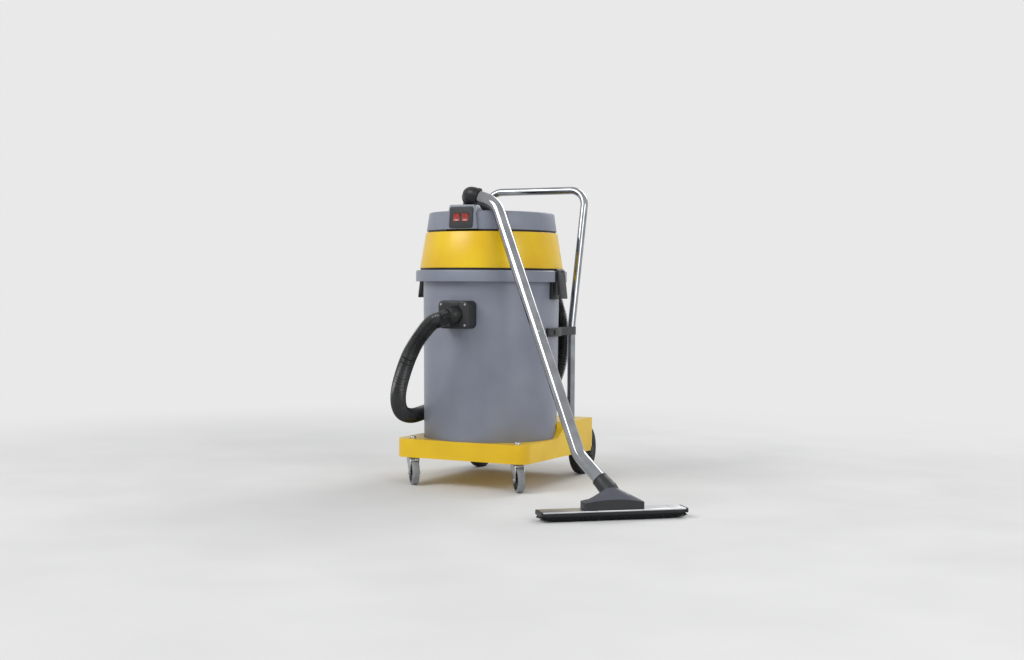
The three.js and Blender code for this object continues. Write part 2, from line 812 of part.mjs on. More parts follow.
// Side latch: a back plate with a knuckle, a pin, and a lever that hangs from the pin
function latchPlate() {
  const lowBack = tankTopRadius + gap;
  const highBack = tankTopRadius + tankWall - gap;
  const profile = outline([
    [lowBack, latchPlateBottom], [latchPlateFace, latchPlateBottom],
    [latchPlateFace, rimTop], [highBack + gap * 2, rimTop],
    [highBack + gap * 2, rimBottom - gap], [lowBack, rimBottom - gap],
  ]);
  const plate = towardsFront(extruded(profile, latchWidth)).translate(0, latchWidth / 2, 0);
  const arm = block(latchPlateFace - latchPinRadius, latchPinX, -latchCentreWidth / 2,
    latchCentreWidth / 2, latchPinHeight - latchKnuckle, latchPinHeight);
  const start = new THREE.Vector3(latchPinX, -latchCentreWidth / 2, latchPinHeight);
  const forward = new THREE.Vector3(0, 1, 0);
  const knuckle = along(rod(latchKnuckle - gap * 3, latchCentreWidth), start, forward);
  const hole = along(holeFor(latchPinRadius, latchWidth * 2),
    start.clone().setY(-latchWidth), forward);
  const bandKeepOut = rod(bandBottomRadius + gap * 3, overrun, largeSides)
    .translate(0, 0, rimTop + gap);
  return geometryOf(without(join(plate, arm, knuckle), hole, bandKeepOut));
}

function latchPin() {
  const start = new THREE.Vector3(latchPinX, -latchWidth / 2, latchPinHeight);
  return along(rod(latchPinRadius, latchWidth, tubeSides), start, new THREE.Vector3(0, 1, 0));
}

function latchLever() {
  const top = latchPinHeight;
  const face = latchPinX + latchKnuckle;
  const foot = face + leverSplay;
  const side = outline([
    [face - leverThickness, top], [foot - leverThickness, leverBottom],
    [foot - leverThickness / 2, leverBottom - leverThickness / 2], [foot, leverBottom],
    [face, top],
  ]);
  const blade = towardsFront(extruded(side, latchWidth)).translate(0, latchWidth / 2, 0);
  const cheekSide = outline([
    [face - leverCheek, top], [foot - leverCheek - leverThickness, leverBottom + leverSplay],
    [foot - leverThickness / 2, leverBottom + leverSplay], [face - leverThickness / 2, top],
  ]);
  const cheeks = [-1, 1].map((hand) => towardsFront(extruded(cheekSide, leverThickness))
    .translate(0, leverThickness / 2 + hand * (latchWidth / 2 - leverThickness / 2), 0));
  const start = new THREE.Vector3(latchPinX, -latchWidth / 2, latchPinHeight);
  const forward = new THREE.Vector3(0, 1, 0);
  const knuckle = along(rod(latchKnuckle, latchWidth), start, forward);
  const hole = along(holeFor(latchPinRadius, latchWidth * 2),
    start.clone().setY(-latchWidth), forward);
  const bay = block(latchPlateFace, latchPinX + latchKnuckle + gap,
    -latchCentreWidth / 2 - gap, latchCentreWidth / 2 + gap,
    latchPinHeight - latchKnuckle * 2, latchPinHeight + latchKnuckle + gap);
  return geometryOf(without(join(blade, ...cheeks, knuckle), hole, bay));
}

// Motor head: seal, base plate, yellow band, top cap
const sealBottom = rimTop + gap;
const plateBottom = sealBottom + sealHeight + gap;

const headSeal = () => turnedRing([
  [sealInner, sealBottom], [sealOuter, sealBottom], [sealOuter, sealBottom + sealHeight],
  [sealInner, sealBottom + sealHeight],
], mediumSides);

const bandInnerAt = (height) => THREE.MathUtils.mapLinear(
  height, bandBottom, bandTop, bandBottomRadius, bandTopRadius) - headWall;

function headPlate() {
  const lip = bandBottom - gap;
  const floorTop = plateBottom + headPlateFloor;
  const spigotTop = lip + spigotHeight;
  const spigotOuter = (bandInnerAt(spigotTop) - gap) * Math.cos(Math.PI / largeSides);
  return turnedRing([
    [airHoleRadius, plateBottom], [bandBottomRadius - headWall / 2, plateBottom],
    [bandBottomRadius - headWall / 2, lip], [spigotOuter, lip], [spigotOuter, spigotTop],
    [spigotOuter - headWall, spigotTop], [spigotOuter - headWall, floorTop],
    [airHoleRadius, floorTop],
  ], mediumSides);
}

function motorBand() {
  const shelf = bandTop - headWall;
  const band = turnedRing([
    [bandBottomRadius - headWall, bandBottom], [bandBottomRadius, bandBottom],
    [bandTopRadius, bandTop],
    [capRecessRadius - headWall * 2, bandTop], [capRecessRadius - headWall * 2, shelf],
    [bandInnerAt(shelf), shelf],
  ]);
  const slots = [];
  const middle = (bandBottom + bandTop) / 2;
  for (let i = 0; i < slotCount; i++) {
    const turn = toRadians(slotHeading + (i - (slotCount - 1) / 2) * slotSpacing);
    const slot = block(bandTopRadius - headWall * 4, bandBottomRadius + overrun,
      -slotWidth / 2, slotWidth / 2, middle - slotHeight / 2, middle + slotHeight / 2);
    slots.push(slot.rotateZ(turn));
  }
  return carve(band, ...slots);
}

function topCap() {
  const roof = capTop - headWall;
  const seat = bandTop + gap;
  const inner = capRecessRadius - headWall;
  const shell = turned([
    [0, roof], [capTopRadius - capEdge - headWall, roof], [inner, seat],
    [capRecessRadius, seat], [capRecessRadius, capBottom], [capBottomRadius, capBottom],
    [capTopRadius, capTop - capEdge], [capTopRadius - capEdge, capTop], [0, capTop], [0, roof],
  ]);
  return carve(shell, housingEnvelope(gap));
}

// Suction motor: a fan drum with the motor's can on it, on the head plate
function suctionMotor() {
  const foot = plateBottom + headPlateFloor + gap;
  const step = motorRadius / 4;
  return turned([
    [0, foot], [fanRadius, foot], [fanRadius, foot + fanHeight - step],
    [fanRadius - step, foot + fanHeight], [motorRadius, foot + fanHeight],
    [motorRadius, foot + motorHeight - step], [motorRadius - step, foot + motorHeight],
    [0, foot + motorHeight],
  ], roundSides);
}

function cableGland() {
  const turn = toRadians(glandHeading);
  const outward = new THREE.Vector3(Math.cos(turn), Math.sin(turn), 0);
  const lean = (bandBottomRadius - bandTopRadius) / (bandTop - bandBottom);
  const slant = outward.clone().add(new THREE.Vector3(0, 0, lean)).normalize();
  const seat = outward.clone().multiplyScalar(bandInnerAt(glandHeight) + headWall).setZ(glandHeight);
  const gland = turned([
    [0, gap * 2], [glandFlange, gap * 2], [glandFlange, headWall], [glandRadius, glandStep],
    [glandTipRadius, glandLength], [glandBore, glandLength], [glandBore, headWall * 2],
    [0, headWall * 2],
  ], smallSides);
  return along(gland, seat, slant);
}

// Pleated filter cartridge and the float cage inside it, both hung from the head plate
function filterCartridge() {
  const points = [];
  for (let i = 0; i < pleatCount * 2; i++) {
    const radius = filterOuter - (i % 2) * pleatDepth;
    const turn = (fullTurn * i) / (pleatCount * 2);
    points.push(new THREE.Vector2(radius * Math.cos(turn), radius * Math.sin(turn)));
  }
  const pleats = new THREE.Shape(points);
  pleats.holes.push(new THREE.Path(circlePoints(filterInner, roundSides)));
  const top = plateBottom - gap;
  const body = extruded(pleats, filterHeight).translate(0, 0, top - filterHeight);
  const foot = top - filterHeight;
  const plate = turnedRing([
    [filterInner, foot], [filterOuter + gap, foot], [filterOuter + gap, foot + filterEndPlate],
    [filterInner, foot + filterEndPlate],
  ], roundSides);
  return geometryOf(join(body, plate));
}

function floatCage() {
  const top = plateBottom - gap;
  const foot = top - cageHeight;
  const flange = filterInner - gap * 2;
  const shell = turned([
    [0, foot + cageWall], [0, foot], [cageRadius, foot], [cageRadius, top - cageWall],
    [flange, top - cageWall], [flange, top], [cageRadius - cageWall, top],
    [cageRadius - cageWall, foot + cageWall], [0, foot + cageWall],
  ], roundSides);
  const windows = [];
  for (let i = 0; i < cageWindows; i++) {
    const window = block(cageRadius / 2, cageRadius + overrun / 2, -cageWindowWidth / 2,
      cageWindowWidth / 2, foot + cageRing, top - cageRing * 2);
    windows.push(window.rotateZ((fullTurn * i) / cageWindows));
  }
  return carve(shell, ...windows);
}

function floatBall() {
  const foot = plateBottom - gap - cageHeight + cageWall;
  const ball = new THREE.SphereGeometry(ballRadius, smallSides, smallSides / 2);
  return ball.rotateX(quarterTurn).translate(0, 0, foot + gap + ballRadius);
}

// Switch housing: flared to its foot, its face leaning back, its shelf sloping down behind
function housingEnvelope(clearance = 0) {
  const low = capBottom + gap - clearance;
  const front = outline([
    [-housingBottomHalf - clearance, low], [housingBottomHalf + clearance, low],
    [housingTopHalf + clearance, housingTop + clearance],
    [-housingTopHalf - clearance, housingTop + clearance],
  ]);
  const depth = housingFaceBottom + overrun;
  const lengthwise = towardsFront(extruded(front, depth - housingKeel + clearance))
    .translate(0, -housingKeel + clearance, 0);
  return lengthwise;
}

const faceLean = Math.atan((housingFaceBottom - housingFaceTop) / (housingTop - capBottom));

// Puts a piece drawn flat in (x, y), +Z outwards, on the housing's leaning face
function onFace(geometry, x, proud = 0) {
  const share = (panelMiddle - capBottom) / (housingTop - capBottom);
  const y = -THREE.MathUtils.lerp(housingFaceBottom, housingFaceTop, share);
  return towardsFront(geometry.translate(0, 0, proud))
    .rotateX(-faceLean)
    .translate(x, y, panelMiddle);
}

function switchHousing() {
  const side = outline([
    [-housingFaceBottom, capBottom + gap], [-housingKeel, capBottom + gap],
    [-housingKeel, capTop + gap], [-housingBack, capTop + gap], [-housingShelf, housingTop],
    [-housingFaceTop, housingTop],
  ]);
  const width = housingBottomHalf + overrun;
  const lengthwise = acrossX(extruded(side, width * 2)).translate(-width, 0, 0);
  const front = outline([
    [-housingBottomHalf, capBottom], [housingBottomHalf, capBottom],
    [housingTopHalf, housingTop - housingRound],
    [housingTopHalf - housingRound, housingTop + gap],
    [-housingTopHalf + housingRound, housingTop + gap],
    [-housingTopHalf, housingTop - housingRound],
  ]);
  const crosswise = towardsFront(extruded(front, housingFaceBottom));
  const body = solid(lengthwise).intersect(solid(crosswise));
  const pockets = [-1, 1].map((hand) => onFace(
    block(-rockerWidth / 2 - gap, rockerWidth / 2 + gap, -rockerRadius - gap, rockerRadius + gap,
      -pocketDepth, overrun), (hand * rockerSpacing) / 2));
  return geometryOf(without(body, ...pockets));
}

function switchPanel() {
  const half = panelWidth / 2;
  const face = roundedRect([-half, half], [-panelHeight / 2, panelHeight / 2], panelCorner);
  const plate = extruded(face, panelThickness, panelThickness / 4, 1);
  const windows = [-1, 1].map((hand) => block(
    (hand * rockerSpacing) / 2 - rockerWidth / 2 - gap,
    (hand * rockerSpacing) / 2 + rockerWidth / 2 + gap,
    -rockerRadius - gap, rockerRadius + gap, -overrun, overrun));
  return onFace(carve(plate, ...windows), 0, gap);
}

// A rocker turns about an axis just behind the panel; its back is round, so it clears its pocket
function rockerSwitch(hand) {
  const proud = rockerProud + panelThickness;
  const dish = proud - rockerDish;
  const back = -rockerDepth;
  const edge = Math.sqrt(rockerRadius ** 2 - proud ** 2);
  const rear = Math.sqrt(rockerRadius ** 2 - back ** 2);
  const points = [[dish, 0], [proud, edge]];
  const from = Math.atan2(edge, proud);
  const to = Math.atan2(rear, back);
  for (let step = 1; step <= bendSteps; step++) {
    const turn = THREE.MathUtils.lerp(from, to, step / bendSteps);
    points.push([rockerRadius * Math.cos(turn), rockerRadius * Math.sin(turn)]);
  }
  const lower = points.slice(1).reverse().map(([out, up]) => [out, -up]);
  const profile = outline([...points, ...lower]);
  const body = extruded(profile, rockerWidth).translate(0, 0, -rockerWidth / 2);
  // (out, up) become the face's +Z and +Y, and the rocker's width runs along x
  const basis = new THREE.Matrix4().makeBasis(
    new THREE.Vector3(0, 0, 1), new THREE.Vector3(0, 1, 0), new THREE.Vector3(-1, 0, 0));
  const tilted = body.applyMatrix4(basis).rotateX(toRadians(rockerTilt));
  return onFace(tilted, (hand * rockerSpacing) / 2);
}

// Wand: the frame of its straight runs, shared by every piece on it
const wandInto = wandTop.clone().sub(wandUpperBend).normalize();
const wandUp = wandUpperBend.clone().sub(wandLowerBend).normalize();
const elbowVertex = pointAlong(wandTop, wandInto, elbowRise);
const swivelTurn = toRadians(toolHeading);
const toolBack = new THREE.Vector3(-Math.sin(swivelTurn), Math.cos(swivelTurn), 0);
const collarAxis = toolBack.clone().multiplyScalar(Math.sin(toRadians(collarTilt)))
  .setZ(Math.cos(toRadians(collarTilt)));
const collarCentre = toolCentre.clone().addScaledVector(toolBack, collarSetback).setZ(collarHeight);
const neckVertex = pointAlong(collarCentre, collarAxis, neckRise);
const neckUp = wandLowerBend.clone().sub(neckVertex).normalize();
const jointPoint = pointAlong(wandUpperBend, wandUp, -wandJoint);
const buttonPoint = pointAlong(jointPoint, wandUp, buttonSetback);
const buttonOut = buttonHeading.clone()
  .addScaledVector(wandUp, -buttonHeading.dot(wandUp)).normalize();
const buttonHole = (length) => along(holeFor(buttonRadius, length), buttonPoint, buttonOut);

function hoseElbow() {
  const rim = pointAlong(wandTop, wandInto, -elbowRim);
  const end = pointAlong(elbowVertex, elbowHeading, elbowReach);
  const shell = tube(bentRun([rim, elbowVertex, end], [elbowBend]),
    elbowRadius, 0, smallSides);
  const collar = along(rod(elbowRadius + elbowCollar, elbowCollarLength), end.clone(),
    elbowHeading.clone().negate());
  const bore = tube(bentRun([
    pointAlong(rim, wandInto, -overrun), elbowVertex, pointAlong(end, elbowHeading, overrun),
  ], [elbowBend]), (wandRadius + gap) / Math.cos(Math.PI / smallSides), 0, smallSides);
  return geometryOf(without(join(shell, collar), bore));
}

function upperWand() {
  const start = pointAlong(wandTop, wandInto, -elbowRim + wandInsertion);
  const run = bentRun([start, wandUpperBend, jointPoint], [wandBend]);
  return carve(tube(run, wandRadius, wandWall, smallSides), buttonHole(wandRadius + overrun));
}

function lowerWand() {
  const top = pointAlong(jointPoint, wandUp, -gap);
  const end = pointAlong(neckVertex, neckUp, neckSocket + gap);
  const run = bentRun([top, wandLowerBend, end], [wandBend]);
  const main = tube(run, wandRadius, wandWall, smallSides);
  const spigotOuter = (wandRadius - wandWall) * Math.cos(Math.PI / smallSides) - gap;
  const step = wandWall * 2;
  const spigot = turnedRing([
    [spigotOuter - wandWall, 0], [wandRadius - wandWall / 2, 0], [wandRadius - wandWall / 2, step],
    [spigotOuter, step], [spigotOuter, spigotLength], [spigotOuter - wandWall, spigotLength],
  ], smallSides);
  const joined = join(main, along(spigot, pointAlong(top, wandUp, -step), wandUp));
  return geometryOf(without(joined, buttonHole(wandRadius + overrun)));
}

function lockButton() {
  const inner = wandRadius - buttonBody;
  const button = turned([
    [0, inner], [buttonRadius, inner], [buttonRadius, wandRadius + buttonProud / 2],
    [buttonRadius / 2, wandRadius + buttonProud], [0, wandRadius + buttonProud],
  ], tubeSides);
  return along(button, buttonPoint, buttonOut);
}

// Neck: a spigot in the hood's collar, an elbow, and a socket for the wand
function toolNeck() {
  const lift = pointAlong(collarCentre, collarAxis, gap);
  const end = pointAlong(neckVertex, neckUp, neckLength);
  const elbow = tube(bentRun([lift, neckVertex, end], [neckBend]), neckRadius, 0, smallSides);
  const spigot = along(rod(neckSpigotRadius, neckSpigotDepth + neckRise, smallSides),
    pointAlong(collarCentre, collarAxis, -neckSpigotDepth + gap), collarAxis);
  const socket = along(holeFor(wandRadius, neckLength),
    pointAlong(neckVertex, neckUp, neckSocket), neckUp);
  const airway = tube(bentRun([
    pointAlong(collarCentre, collarAxis, -neckSpigotDepth - neckRise), neckVertex,
    pointAlong(neckVertex, neckUp, neckSocket + neckRise),
  ], [neckBend]), airwayRadius, 0, airwaySides);
  return geometryOf(without(join(elbow, spigot), socket, airway));
}

// Hood: lofted from a long base, over an arched band, to a round collar that leans back
function hoodRing(index, stage) {
  const share = index / hoodPoints;
  const turn = share * fullTurn;
  const flat = hoodHalfLength - hoodCorner;
  const deep = hoodHalfDepth - hoodCorner;
  const square = (value) => Math.sign(value) * Math.min(1, Math.abs(value) * Math.SQRT2);
  const x = square(Math.cos(turn)) * flat + Math.cos(turn) * hoodCorner;
  const y = square(Math.sin(turn)) * deep + Math.sin(turn) * hoodCorner;
  if (stage === 0) return new THREE.Vector3(x, y, barTop + gap);
  if (stage === 1) {
    const middle = 1 - (x / hoodHalfLength) ** 2;
    const height = THREE.MathUtils.lerp(hoodBandEnd, hoodBandMiddle, middle);
    return new THREE.Vector3(x, y, barTop + gap + height);
  }
  const tilt = toRadians(collarTilt);
  const across = collarRadius * Math.sin(turn);
  return new THREE.Vector3(
    collarRadius * Math.cos(turn),
    collarSetback + across * Math.cos(tilt),
    collarHeight - across * Math.sin(tilt));
}

function toolHood() {
  const stages = [0, 1, 2];
  const vertices = [];
  for (const stage of stages) {
    for (let i = 0; i < hoodPoints; i++) vertices.push(hoodRing(i, stage));
  }
  const faces = [];
  for (let stage = 0; stage < stages.length - 1; stage++) {
    for (let i = 0; i < hoodPoints; i++) {
      const next = (i + 1) % hoodPoints;
      const [a, b] = [stage * hoodPoints + i, stage * hoodPoints + next];
      const [c, d] = [b + hoodPoints, a + hoodPoints];
      faces.push(a, b, c, a, c, d);
    }
  }
  const lid = (stages.length - 1) * hoodPoints;
  vertices.push(new THREE.Vector3(0, 0, barTop + gap));
  vertices.push(new THREE.Vector3(0, collarSetback, collarHeight));
  const [low, high] = [vertices.length - 2, vertices.length - 1];
  for (let i = 0; i < hoodPoints; i++) {
    const next = (i + 1) % hoodPoints;
    faces.push(low, next, i, high, lid + i, lid + next);
  }
  const loft = new THREE.BufferGeometry().setFromPoints(vertices);
  loft.setIndex(faces);
  const tilt = toRadians(collarTilt);
  const lean = new THREE.Vector3(0, Math.sin(tilt), Math.cos(tilt));
  const centre = new THREE.Vector3(0, collarSetback, collarHeight);
  const tubeRing = along(rod(collarRadius, collarTube, roundSides),
    pointAlong(centre, lean, -collarTube), lean);
  const bore = along(holeFor(neckSpigotRadius, neckSpigotDepth + overrun),
    pointAlong(centre, lean, -neckSpigotDepth), lean);
  const airway = along(rod(airwayRadius, airwayDrop + neckSpigotDepth, airwaySides),
    pointAlong(centre, lean, -neckSpigotDepth - airwayDrop), lean);
  const chamber = block(-suctionHalfLength, suctionHalfLength, -suctionHalfDepth, suctionHalfDepth,
    barTop - barThickness, barTop + suctionHeight);
  return geometryOf(without(join(loft, tubeRing), bore, airway, chamber));
}

function toolBar() {
  const half = barDepth / 2;
  const under = barTop - barThickness;
  const web = under - barWebDepth;
  const inner = barWebSetback - barWebThickness;
  const profile = outline([
    [-half, under], [-barWebSetback, under], [-barWebSetback, web], [-inner, web], [-inner, under],
    [inner, under], [inner, web], [barWebSetback, web], [barWebSetback, under], [half, under],
    [half, barTop], [-half, barTop],
  ]);
  const bar = acrossX(extruded(profile, barLength)).translate(-barLength / 2, 0, 0);
  const slot = block(-suctionHalfLength, suctionHalfLength, -suctionHalfDepth, suctionHalfDepth,
    web, barTop + barThickness);
  return carve(bar, slot);
}

function toolEndCap(hand) {
  const half = barDepth / 2;
  const face = roundedRect([-half, half], [endCapBottom, barTop], endCapThickness / 2);
  const cap = acrossX(extruded(face, endCapThickness));
  return cap.translate(hand > 0 ? barLength / 2 + gap : -barLength / 2 - gap - endCapThickness, 0, 0);
}

// A brush strip: two staggered rows of strands fused to their backing, splayed at the ends
function brushStrip(hand) {
  const middle = hand * (barWebSetback + gap + brushDepth / 2);
  const top = barTop - barThickness - gap;
  const foot = top - brushBackHeight;
  const half = barLength / 2 - gap;
  const backing = block(-half, half, middle - brushDepth / 2, middle + brushDepth / 2, foot, top);
  const strands = [];
  const rows = [-1, 1];
  for (const row of rows) {
    for (let i = 0; i < strandCount; i++) {
      const share = (i + 0.5 + row / 4) / strandCount;
      const x = THREE.MathUtils.lerp(-half, half, share);
      const y = middle + (row * brushDepth) / 4;
      const edge = Math.abs(x) / half;
      const lift = strandEndLift * edge ** strandLiftPower;
      const splay = THREE.MathUtils.lerp(1, strandSplay, edge ** strandSplayPower);
      const tip = new THREE.Vector3(x * splay, y, lift);
      const corners = circlePoints(strandRadius, strandSides)
        .map((spot) => new THREE.Vector3(x + spot.x, y + spot.y, foot + gap));
      const strand = new THREE.BufferGeometry().setFromPoints([...corners, tip]);
      strand.setIndex([0, 1, 2, 1, 0, 3, 2, 1, 3, 0, 2, 3]);
      strands.push(strand);
    }
  }
  return geometryOf(join(backing, mergeGeometries(strands)));
}

// Hose: two lengths, face to face behind the tank, ribbed outside and smooth inside
const point = (x, y, z) => new THREE.Vector3(x, y, z);
const cuffEnd = pointAlong(inletMouth, inletHeading, cuffLength - cuffSink);
const elbowEnd = pointAlong(elbowVertex, elbowHeading, elbowReach);
const hoseSplit = point(104, 289, 546);
const splitHeading = point(-0.29, 0, 0.96).normalize();

const lowerRoute = [
  pointAlong(cuffEnd, inletHeading, gap),
  pointAlong(cuffEnd, inletHeading, hoseRadius),
  pointAlong(cuffEnd, inletHeading, hoseRadius * 2),
  point(-56, -352, 472), point(-86, -363, 418), point(-146, -325, 312), point(-204, -222, 237),
  point(-241, -90, 204), point(-240, 42, 211), point(-191, 155, 217.5), point(-103, 236.5, 217),
  point(-4, 278, 224), point(82, 289, 292), point(120, 289, 411),
  pointAlong(hoseSplit, splitHeading, -splitReach),
  hoseSplit,
];
const upperRoute = [
  pointAlong(hoseSplit, splitHeading, gap),
  pointAlong(hoseSplit, splitHeading, splitReach),
  point(49, 288, 672), point(-25, 281, 780), point(-83, 224, 858), point(-101, 126, 888),
  point(-74, 4, 884),
  pointAlong(elbowEnd, elbowHeading, hoseRadius * 2),
  pointAlong(elbowEnd, elbowHeading, hoseRadius),
  pointAlong(elbowEnd, elbowHeading, gap),
];

function ribbedHose(route, ribs) {
  const curve = new THREE.CatmullRomCurve3(route, false, "centripetal");
  curve.arcLengthDivisions = arcDivisions;
  const last = ribs * 2;
  const frames = curve.computeFrenetFrames(last, false);
  const vertices = [];
  const ring = (index, radius) => {
    const centre = curve.getPointAt(index / last);
    for (const { x, y } of circlePoints(radius, hoseSides)) {
      vertices.push(centre.clone()
        .addScaledVector(frames.normals[index], x)
        .addScaledVector(frames.binormals[index], y));
    }
  };
  for (let i = 0; i <= last; i++) ring(i, i % 2 ? hoseRadius : hoseRoot);
  for (let i = 0; i <= last; i += ringsPerBoreRing) ring(i, hoseBore);
  const faces = [];
  const wall = (first, second, inward) => {
    for (let i = 0; i < hoseSides; i++) {
      const next = (i + 1) % hoseSides;
      const [a, b, c, d] = [first + i, first + next, second + next, second + i];
      if (inward) faces.push(a, c, b, a, d, c);
      else faces.push(a, b, c, a, c, d);
    }
  };
  for (let i = 0; i < last; i++) wall(i * hoseSides, (i + 1) * hoseSides, false);
  const boreStart = (last + 1) * hoseSides;
  const boreRings = last / ringsPerBoreRing;
  for (let i = 0; i < boreRings; i++) {
    wall(boreStart + i * hoseSides, boreStart + (i + 1) * hoseSides, true);
  }
  wall(0, boreStart, true);
  wall(last * hoseSides, boreStart + boreRings * hoseSides, false);
  const hose = new THREE.BufferGeometry().setFromPoints(vertices);
  hose.setIndex(faces);
  hose.computeVertexNormals();
  return { hose, curve };
}

const lowerHose = ribbedHose(lowerRoute, lowerRibs);
const upperHose = ribbedHose(upperRoute, upperRibs);

// The least room between two stretches of the hose that lie more than four diameters apart along it
function leastGap(curves) {
  const samples = curves.flatMap(
    (curve) => curve.getSpacedPoints(Math.round(curve.getLength() / hoseRadius)));
  let least = Infinity;
  samples.forEach((spot, i) => {
    samples.slice(i + samplesApart).forEach((other) => {
      least = Math.min(least, spot.distanceTo(other) - hoseRadius * 2);
    });
  });
  return least;
}

const hoseLength = lowerHose.curve.getLength() + upperHose.curve.getLength();
console.log(`hose length ${hoseLength.toFixed(0)} mm`);
console.log(`least gap of the hose to itself ${leastGap([lowerHose.curve, upperHose.curve]).toFixed(1)} mm`);

// Assembly
const machine = new THREE.Group();
const hoses = [];

function add(name, geometry, material, parent = machine) {
  const mesh = new THREE.Mesh(geometry, material);
  mesh.name = name;
  parent.add(mesh);
  return mesh;
}

add("trolley_base", trolleyBase(), yellowPlastic);
add("rear_axle", rearAxle(), zincSteel);
add("tank", tank(), greyPlastic);
add("inlet_block", inletBlock(), blackPlastic);
add("inlet_cuff", inletCuff(), blackRubber);
add("push_handle", pushHandle(), chromeSteel);
hoses.push(add("hose_lower", lowerHose.hose, blackPlastic));
hoses.push(add("hose_upper", upperHose.hose, blackPlastic));

for (const [hand, side] of [["left", -1], ["right", 1]]) {
  const wheelCentre = new THREE.Vector3(side * rearWheelX, rearWheelY, rearWheelRadius);
  const outward = new THREE.Vector3(side, 0, 0);
  add(`rear_hub_${hand}`, along(rearHub(), wheelCentre, outward), blackPlastic);
  add(`rear_tyre_${hand}`, along(rearTyre(), wheelCentre, outward), blackRubber);
  add(`axle_cap_${hand}`, axleCap(side), blackPlastic);

  const caster = new THREE.Group();
  caster.position.set(side * casterX, casterY, 0);
  caster.rotation.z = casterHeading;
  machine.add(caster);
  add(`caster_stem_${hand}`, casterStem(), zincSteel, caster);
  add(`caster_fork_${hand}`, casterFork(), zincSteel, caster);
  add(`caster_axle_${hand}`, casterAxle(), zincSteel, caster);
  add(`caster_hub_${hand}`, casterHub(), blackPlastic, caster);
  add(`caster_tyre_${hand}`, casterTyre(), greyRubber, caster);

  const handed = (geometry) => (side < 0 ? mirrored(geometry) : geometry);
  add(`handle_stay_${hand}`, handed(handleStay()), blackPlastic);
  add(`latch_plate_${hand}`, handed(latchPlate()), blackPlastic);
  add(`latch_pin_${hand}`, handed(latchPin()), zincSteel);
  add(`latch_lever_${hand}`, handed(latchLever()), blackPlastic);
  add(`suction_motor_${hand}`, suctionMotor().translate(side * motorX, 0, 0), zincSteel);
  add(`rocker_${hand}`, rockerSwitch(side), redPlastic);
}

add("head_seal", headSeal(), blackRubber);
add("head_plate", headPlate(), blackPlastic);
add("motor_band", motorBand(), yellowPlastic);
add("top_cap", topCap(), greyPlastic);
add("cable_gland", cableGland(), blackRubber);
add("filter_cartridge", filterCartridge(), filterPaper);
add("float_cage", floatCage(), blackPlastic);
add("float_ball", floatBall(), blackPlastic);
add("switch_housing", switchHousing(), greyPlastic);
add("switch_panel", switchPanel(), blackPlastic);

add("hose_elbow", hoseElbow(), blackRubber);
add("wand_upper", upperWand(), chromeSteel);
add("wand_lower", lowerWand(), chromeSteel);
add("lock_button", lockButton(), zincSteel);
add("tool_neck", toolNeck(), blackPlastic);

const tool = new THREE.Group();
tool.position.copy(toolCentre);
tool.rotation.z = swivelTurn;
machine.add(tool);
add("tool_hood", toolHood(), darkGreyPlastic, tool);
add("tool_bar", toolBar(), aluminium, tool);
add("tool_end_cap_left", toolEndCap(-1), blackPlastic, tool);
add("tool_end_cap_right", toolEndCap(1), blackPlastic, tool);
add("brush_front", brushStrip(-1), bristle, tool);
add("brush_rear", brushStrip(1), bristle, tool);

// The origin is the bottom centre of the box round everything but the hose
const extent = new THREE.Box3();
machine.updateMatrixWorld(true);
for (const mesh of machine.getObjectsByProperty("isMesh", true)) {
  if (!hoses.includes(mesh)) extent.expandByObject(mesh, true);
}
const middle = extent.getCenter(new THREE.Vector3());
machine.position.set(-middle.x, -middle.y, -extent.min.z);

const group = new THREE.Group();
group.add(machine);

export default group;
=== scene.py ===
# %% [markdown]
# # A shop vacuum on its trolley
# A wet and dry vacuum is a plastic tank that stands in a wheeled trolley. A motor head sits on the
# tank, and a ribbed hose runs from the tank's inlet, round the back, to a chrome wand with a floor
# tool. The solids come packed from CAD, in metres, with the floor at z = 0. Here each visible solid
# gets its smooth shape and its finish, and keeps the place and the joint of the solid it stands for.

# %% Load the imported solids
import math
import random

import bpy
from mathutils import Matrix, Vector


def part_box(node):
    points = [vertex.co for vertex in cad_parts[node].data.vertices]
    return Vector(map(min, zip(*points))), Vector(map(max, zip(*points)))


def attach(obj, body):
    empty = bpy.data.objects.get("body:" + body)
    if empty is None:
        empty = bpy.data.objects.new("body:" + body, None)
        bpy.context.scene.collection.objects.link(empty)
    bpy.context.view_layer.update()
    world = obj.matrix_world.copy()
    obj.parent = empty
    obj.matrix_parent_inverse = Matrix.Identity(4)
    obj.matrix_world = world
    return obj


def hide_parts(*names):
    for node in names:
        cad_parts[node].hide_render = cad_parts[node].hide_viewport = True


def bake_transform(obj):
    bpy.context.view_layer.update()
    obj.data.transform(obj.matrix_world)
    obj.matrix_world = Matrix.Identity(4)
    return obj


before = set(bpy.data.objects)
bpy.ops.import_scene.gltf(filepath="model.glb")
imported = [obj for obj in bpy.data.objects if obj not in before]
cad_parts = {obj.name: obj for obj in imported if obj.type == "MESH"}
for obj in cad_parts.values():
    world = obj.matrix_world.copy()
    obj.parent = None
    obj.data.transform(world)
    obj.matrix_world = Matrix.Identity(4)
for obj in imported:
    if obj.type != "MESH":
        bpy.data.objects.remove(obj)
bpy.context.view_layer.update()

# %% [markdown]
# ## Places
# The real machine is built round its tank, so every place below is measured from the tank's axis and
# from the floor, in millimetres. One function turns such a place into the scene's metres. The axis
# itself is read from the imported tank, so nothing is fitted by eye.

# %% Places in millimetres
MM = 0.001
WELD = 1e-6
tank_low, tank_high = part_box("tank")
axis_x, axis_y = (tank_low.x + tank_high.x) / 2, (tank_low.y + tank_high.y) / 2


def spot(x, y, z):
    """A place in metres, from millimetres off the tank's axis and the floor."""
    return Vector((axis_x + x * MM, axis_y + y * MM, z * MM))


